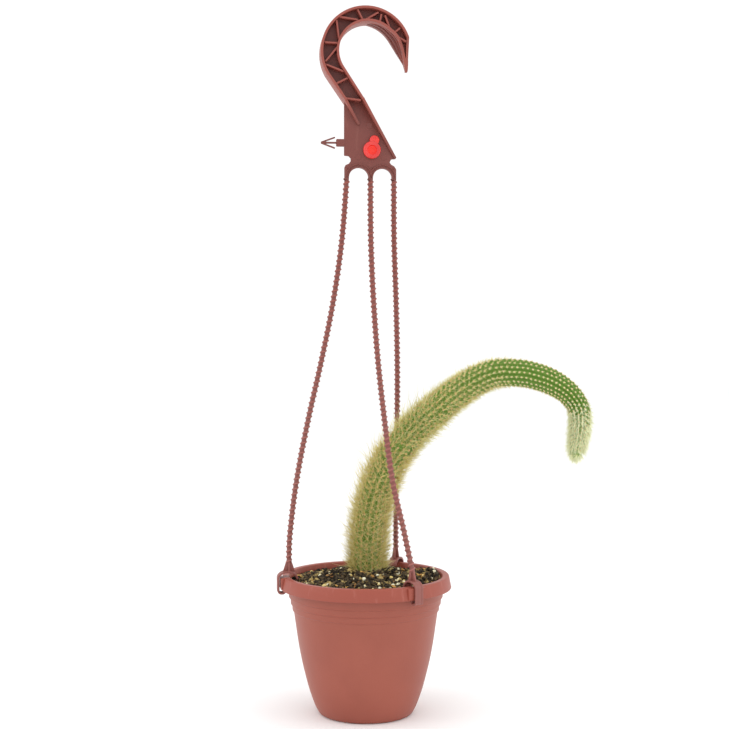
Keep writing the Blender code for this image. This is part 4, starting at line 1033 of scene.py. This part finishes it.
# Painted light: the well's floor is given a brighter, more orange red, to lift the shade that falls in the
# well.
red_well_painted_light = red_wire.place(1).between(-0.0030, -0.0019)
red_colour = red_cloud.between(0.3, 0.7).mix((0.64, 0.030, 0.026), (0.74, 0.048, 0.042))
feed(
    red_shader,
    Base_Color=red_well_painted_light.mix(red_colour, (0.90, 0.034, 0.012)),
    Roughness=0.28 + 0.12 * red_cloud,
    Bump=(red_wire.grain(900, 2), 0.00004),
)
plug.data.materials.append(red_finish)
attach(plug, "root")
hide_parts("red_plug")

# Strands.
# Three flexible strands of the same plastic, each with a fine ridge that winds round it like a
# screw thread. Each is moulded in one with the plate above and with its clip below.
RIDGE = 0.00252
RIDGE_PITCH = 0.0038
# One pitch of the ridge: share of the pitch, and share of the ridge's height.
RIDGE_PROFILE = ((0.0, 0.0), (0.30, 0.03), (0.40, 0.4), (0.48, 0.90), (0.56, 1.0), (0.64, 0.85),
                 (0.74, 0.28), (0.84, 0.03), (1.0, 0.0))
STRAND_STEPS = 14
STRAND_TUCK = 0.003
STRAND_MERGE = 0.00002

for strand_name, route in STRAND_ROUTES.items():
    path = smooth_line(route, 120)[:, :3] / 1000
    path = np.vstack([path[:1] + (0, 0, STRAND_TUCK), path])
    length = float(np.linalg.norm(np.diff(path, axis=0), axis=1).sum())
    turns = round(length / RIDGE_PITCH)
    pitch = length / turns
    strand = primitive(bpy.ops.mesh.primitive_plane_add, "ridged_strand_" + strand_name, size=0.0001,
                       location=(STRAND_CORE, 0, 0))
    with editing():
        bpy.ops.mesh.merge(type="CENTER")
        for (low, in_low), (high, in_high) in zip(RIDGE_PROFILE, RIDGE_PROFILE[1:]):
            step = ((in_high - in_low) * (RIDGE - STRAND_CORE), 0, (high - low) * pitch)
            bpy.ops.mesh.extrude_vertices_move(TRANSFORM_OT_translate={"value": step})
    apply_modifier(
        strand, "SCREW", axis="Z", angle=math.tau, screw_offset=pitch, iterations=turns, steps=STRAND_STEPS,
        render_steps=STRAND_STEPS, use_merge_vertices=True, merge_threshold=STRAND_MERGE)
    from_axis = np.array([math.hypot(vertex.co.x, vertex.co.y) for vertex in strand.data.vertices])
    # With this mark the shared finish paints shade on the core between the turns of the ridge and a highlight
    # on the ridge.
    mark(strand, "proud", np.clip((from_axis - STRAND_CORE) / (RIDGE - STRAND_CORE), 0, 1))
    guide_curve = bpy.data.curves.new("guide", "CURVE")
    guide_curve.dimensions = "3D"
    spline = guide_curve.splines.new("POLY")
    spline.points.add(len(path) - 1)
    spline.points.foreach_set("co", np.column_stack([path, np.ones(len(path))]).astype(np.float32).ravel())
    guide = new_object("guide", guide_curve)
    apply_modifier(strand, "CURVE", object=guide, deform_axis="POS_Z")
    bpy.data.objects.remove(guide)
    with editing(face_out=True):
        bpy.ops.mesh.remove_doubles(threshold=STRAND_MERGE)
        bpy.ops.mesh.fill_holes(sides=0)
    smooth(strand, 60)
    strand.data.materials.append(hanger_finish)
    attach(strand, "root")
    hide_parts("strand_" + strand_name)

# Clips.
# Each strand ends in a moulded clip that saddles the rim: a strap with raised borders, a hooked
# foot that snaps under the skirt, and crossed fins that taper up into the strand.
# The strap's middle: radius from the pot's axis and height above the rim (mm), from the hooked foot
# up the outside and over the rim.
CLIP_PATH = (
    (60.4, -9.4), (60.7, -11.1), (61.8, -12.0), (63.8, -12.0), (65.0, -11.3), (65.35, -9.8), (65.35, -4.5),
    (65.35, -0.5), (64.5, 1.3), (62.4, 2.75), (60.2, 3.4), (57.6, 3.5), (55.0, 3.0), (53.0, 1.7),
    (51.7, -0.4), (51.3, -1.9),
)
STRAP_WIDTH = 0.0068
STRAP_BORDER = 0.0015
STRAP_INSET = 0.0004
# How far the strap and its borders reach to the inner and the outer side of that middle (mm).
STRAP_REACH = (0.25, 0.55)
BORDER_REACH = (0.75, 0.75)
FIN_MIDDLE = 57.4
FIN_TOP = 12.2
FIN_FOOT = 3.4
FIN_HALF_RADIAL = 4.6
FIN_HALF_TANGENT = 3.1
FIN = 0.0014
TANGENT_FIN_DROP = 0.2
# The strand's foot between the fins: its length, how far its middle is under their top (mm), and how
# much it narrows downwards.
FOOT_LENGTH, FOOT_DROP, FOOT_SHARE = 0.0034, 1.6, 0.8
CLIP_PROUD = 0.45

clip_run = smooth_line([(x, 0, z) for x, z in CLIP_PATH], 44)
clip_run = [(x, z) for x, _, z in clip_run]
strap_half = STRAP_WIDTH / 2 - STRAP_INSET
clip_parts = [traced("strap", strip(clip_run, *STRAP_REACH), -strap_half, strap_half, STRAP_INSET / 2)]
for side in (-1, 1):
    edges = sorted((side * STRAP_WIDTH / 2, side * (STRAP_WIDTH / 2 - STRAP_BORDER)))
    clip_parts.append(traced("strap_border", strip(clip_run, *BORDER_REACH), *edges))
radial_fin = ((FIN_MIDDLE - half_core, FIN_TOP), (FIN_MIDDLE + half_core, FIN_TOP),
              (FIN_MIDDLE + FIN_HALF_RADIAL, FIN_FOOT), (FIN_MIDDLE - FIN_HALF_RADIAL, FIN_FOOT))
tangent_top = FIN_TOP - TANGENT_FIN_DROP
tangent_fin = ((-half_core, tangent_top), (half_core, tangent_top),
               (FIN_HALF_TANGENT, FIN_FOOT), (-FIN_HALF_TANGENT, FIN_FOOT))
clip_parts.append(traced("radial_fin", radial_fin, -FIN / 2, FIN / 2))
cross_fin = traced("tangent_fin", tangent_fin, -FIN / 2, FIN / 2)
cross_fin.data.transform(Matrix.Rotation(math.radians(90), 4, "Z"))
cross_fin.data.transform(Matrix.Translation((FIN_MIDDLE / 1000, 0, 0)))
clip_parts.append(cross_fin)
clip_parts.append(primitive(
    bpy.ops.mesh.primitive_cone_add, "strand_foot", vertices=24, radius1=STRAND_CORE * FOOT_SHARE,
    radius2=STRAND_CORE, depth=FOOT_LENGTH, location=(FIN_MIDDLE / 1000, 0, (FIN_TOP - FOOT_DROP) / 1000)))
clip_pattern = joined("clip_pattern", clip_parts)
clip_pattern.data.transform(Matrix.Translation((0, 0, RIM_Z)))
mark(clip_pattern, "proud", np.full(len(clip_pattern.data.vertices), CLIP_PROUD))
smooth(clip_pattern, 35)
clip_pattern.data.materials.append(hanger_finish)
for clip_name, clip_angle in CLIP_ANGLES.items():
    clip = new_object("rim_clip_" + clip_name, clip_pattern.data.copy())
    clip.data.transform(Matrix.Rotation(math.radians(clip_angle), 4, "Z"))
    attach(clip, "root")
    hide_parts("clip_" + clip_name)
bpy.data.objects.remove(clip_pattern)
